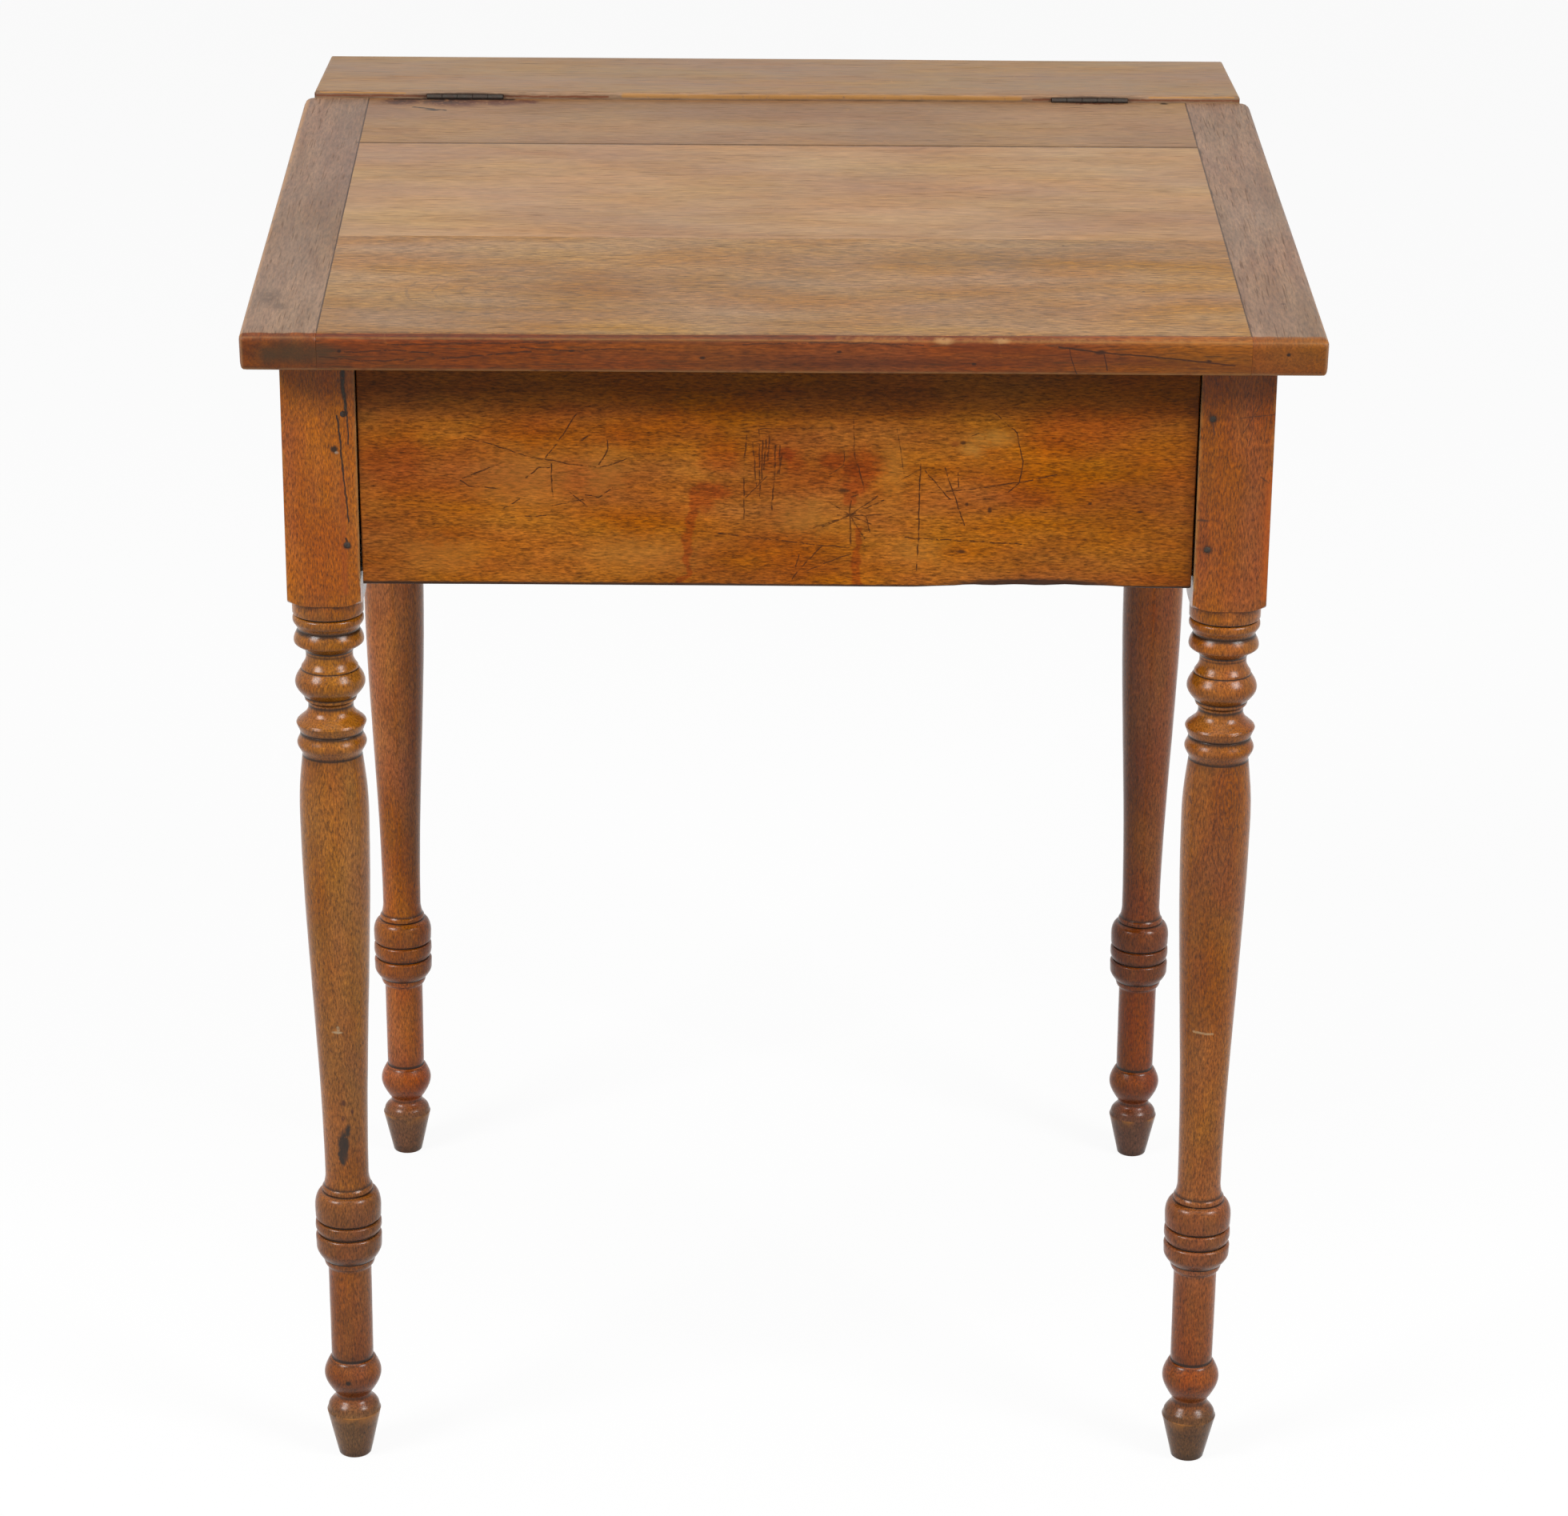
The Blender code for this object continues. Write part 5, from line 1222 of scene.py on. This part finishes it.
def makeLid():
    for name, piece in lidPieces.items():
        side = piece.get("side", 0)
        frontEdge = lidMake[piece["from"]]
        backEdge = lidMake[piece["to"]] if piece["to"] else lidBackEdge(lidMake["upper"])
        if piece["from"] != "front":
            frontEdge += lidMake["openSeam"] if piece["from"] == "secondSeam" else lidMake["seam"]
        reach = lidMake["inner"] - lidMake["seam"]
        xs = (-reach, reach)
        if side:
            xs = sorted((side * (lidMake["inner"] + lidMake["seam"]), side * lidMake["half"]))
        low = Vector((xs[0], frontEdge, lidMake["lower"]))
        high = Vector((xs[1], backEdge, lidMake["upper"]))
        eased = []
        if piece["from"] == "front":
            eased += [((1, 2), (-1, 1), lidMake["frontRound"]), ((1, 2), (-1, -1), lidMake["underRound"])]
        if side:
            eased += [((0, 2), (side, way), lidMake["endRound"]) for way in (1, -1)]
            eased += [((0, 1), (side, -1), lidMake["frontCorner"]), ((0, 1), (side, 1), lidMake["backCorner"])]
        make = {**lidBoard, "seed": piece["look"]["seed"], "eased": eased}
        if eased:
            make["largeRound"] = lidMake["frontRound"]

        def settle(point):  # the back edge is plumb, and the front has crept
            if not piece["to"] and point.y > high.y - endZone:
                point.y += lidBackEdge(point.z) - high.y
            point.x += readTable(lidMake["creep"], point.x) * max(0.0, point.y / lidMake["front"])
            return point

        look = {**lidLook, **(lidEndLook if side else {}), **piece["look"]}
        creep = lidMake["creep"]
        wornLow = Vector((-lidMake["half"] + creep[0][1], lidMake["front"], low.z))
        wornHigh = Vector((lidMake["half"] + creep[-1][1], 0, high.z))
        finish = woodFinish(piece["slot"] + "_" + name, look, wornLow, wornHigh, piece["along"],
                            tilted=True, marks=piece["marks"])
        mesh = boardMesh(name, low, high, make, settle)
        mesh.transform(lidTurn)
        if name == "lid_rear_plank":
            mesh = carved(mesh, cutters["lid"])
        placePiece(name, mesh, finish, "lid", piece["slot"], piece["node"])


makeLid()
print("lid made")


def leafTree(first, sign):
    # plate with rounded corners and every second knuckle of the barrel
    names = ("Length", "Depth", "Thickness", "Barrel", "Knuckles", "Gap", "Corner")
    sizes = {name: hinge[name] for name in names}
    work, given = startTree("hinge_leaf", sizes)
    outline = work.shape("CurvePrimitiveQuadrilateral", {"Width": given["Length"], "Height": given["Depth"]})
    corners = {0: outline, "Count": 4, "Radius": given["Corner"]}
    outline = work.add("GeometryNodeFilletCurve", {"mode": "POLY"}, corners)
    plate = work.add("GeometryNodeFillCurve", {"mode": "NGONS"}, {0: outline})
    upper = work.shape("ExtrudeMesh", {0: plate, "Offset Scale": given["Thickness"]})
    back = work.shape("FlipFaces", {0: plate})
    plate = joinShapes(work, upper, back)
    plate = work.shape("MergeByDistance", {0: plate, "Distance": hinge["weld"]})
    # the plate hangs from the axis, its thickness away from the joint
    hang = work.joined(0.0, sign * hinge["spacing"] / 2, given["Depth"] * -0.5)
    plate = work.shape("Transform", {
        0: plate, "Translation": hang, "Rotation": (-sign * math.pi / 2, 0, 0)})
    pitch = (given["Length"] + given["Gap"]) / given["Knuckles"]
    startX = given["Length"] * -0.5 + pitch * (first + 0.5) - given["Gap"] * 0.5
    count = ((given["Knuckles"] - first) / 2).maths("CEIL")
    row = work.shape("MeshLine", {
        "Count": count, "Start Location": work.joined(startX), "Offset": work.joined(pitch * 2)})
    knuckle = work.shape("MeshCylinder", {
        "Vertices": 20, "Radius": given["Barrel"], "Depth": pitch - given["Gap"]})
    knuckles = work.shape("InstanceOnPoints", {
        0: row, "Instance": knuckle, "Rotation": (0, math.pi / 2, 0)})
    leaf = joinShapes(work, plate, knuckles)
    leaves = work.shape("InstanceOnPoints", {0: given["Geometry"], "Instance": leaf})
    endTree(work, leaves, darkIron)
    return work, sizes


def screwTree(sign):
    # countersunk heads with a slot, a row in each leaf
    names = ("Screws", "Pitch", "Drop", "Head", "Sink", "Shank", "Reach")
    sizes = {name: hinge[name] for name in names}
    work, given = startTree("hinge_screws", sizes)
    head = work.shape("MeshCone", {
        "Vertices": 20, "Radius Top": given["Shank"], "Radius Bottom": given["Head"], "Depth": given["Sink"]})
    slotCut = work.shape("MeshCube", {"Size": hinge["slot"]})
    head = work.add("GeometryNodeMeshBoolean", {"operation": "DIFFERENCE"}, {0: head, 1: slotCut})
    shank = work.shape("MeshCone", {
        "Vertices": 12, "Radius Top": hinge["point"], "Radius Bottom": given["Shank"], "Depth": given["Reach"]})
    shift = work.joined(0.0, 0.0, given["Sink"])
    shank = work.shape("Transform", {0: shank, "Translation": shift})
    screw = joinShapes(work, head, shank)
    row = work.shape("MeshLine", {
        "Count": given["Screws"],
        "Start Location": work.joined(
            given["Pitch"] * (given["Screws"] - 1) * -0.5, sign * hinge["spacing"] / 2, -given["Drop"]),
        "Offset": work.joined(given["Pitch"]),
    })
    rows = work.shape("InstanceOnPoints", {
        0: row, "Instance": screw, "Rotation": (-sign * math.pi / 2, 0, 0)})
    screws = work.shape("InstanceOnPoints", {0: given["Geometry"], "Instance": rows})
    endTree(work, screws, darkIron)
    return work, sizes


def makeHinges():
    centres = [(x, hingeAxis.y, hingeAxis.z) for x in hinge["centres"]]
    names = ("left", "right")
    for kind, body, first, sign in (("fixed", "frame", 0, 1), ("lid", "lid", 1, -1)):
        mesh = runTree(pointMesh(centres), *leafTree(first, sign))
        nodes = [f"hinge_{side}_{kind}_leaf" for side in names]
        placePiece(f"hinge_leaves_{kind}", mesh, None, body, "dark_iron", *nodes)
        mesh = runTree(pointMesh(centres), *screwTree(sign))
        nodes = [f"hinge_{side}_{kind}_screw_{index}" for side in names for index in (1, 2, 3)]
        placePiece(f"hinge_screws_{kind}", mesh, None, body, "dark_iron", *nodes)
    for side in names:
        node = frame["nodes"][f"hinge_{side}_pin"]
        node.data.materials.clear()
        node.data.materials.append(darkIron)


makeHinges()
print("hinges made")

# iron pins through the posts into the tenons
pins = {"Radius": 0.0022, "Length": 0.030, "Crown": 0.0006}
crownShare = 0.98  # of the pin's width


def pinTree():
    work, given = startTree("joint_pins", pins)
    shank = work.shape("MeshCylinder", {
        "Vertices": 18, "Side Segments": 3, "Radius": given["Radius"], "Depth": given["Length"]})
    sunk = work.joined(0.0, 0.0, given["Length"] * -0.5)
    shank = work.shape("Transform", {0: shank, "Translation": sunk})
    crown = work.shape("MeshUVSphere", {"Segments": 18, "Rings": 8, "Radius": given["Radius"]})
    flat = work.joined(crownShare, crownShare, given["Crown"] / given["Radius"])
    crown = work.shape("Transform", {0: crown, "Scale": flat})
    pin = joinShapes(work, shank, crown)
    facing = work.add("GeometryNodeInputNamedAttribute", {"data_type": "FLOAT_VECTOR"}, {"Name": "facing"})
    turn = work.add("FunctionNodeAlignRotationToVector", {"axis": "Z"}, {"Vector": facing})
    placed = work.shape("InstanceOnPoints", {0: given["Geometry"], "Instance": pin, "Rotation": turn})
    endTree(work, placed, pinIron)
    return work


def makePins():
    places, directions, nodes = [], [], []
    for name in sorted(frame["nodes"]):
        if name.startswith("joint_pin_"):
            low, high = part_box(name)
            middle = (low + high) / 2
            longest = max(range(2), key=lambda axis: high[axis] - low[axis])
            outward = Vector((0, 0, 0))
            outward[longest] = math.copysign(1, middle[longest])
            middle[longest] = (high if outward[longest] > 0 else low)[longest]
            places.append(middle)
            directions.append(outward)
            nodes.append(name)
    mesh = runTree(pointMesh(places, directions), pinTree(), pins)
    placePiece("joint_pins", mesh, None, "frame", "pin_iron", *nodes, smoothUnder=50)


makePins()
print("pins made")
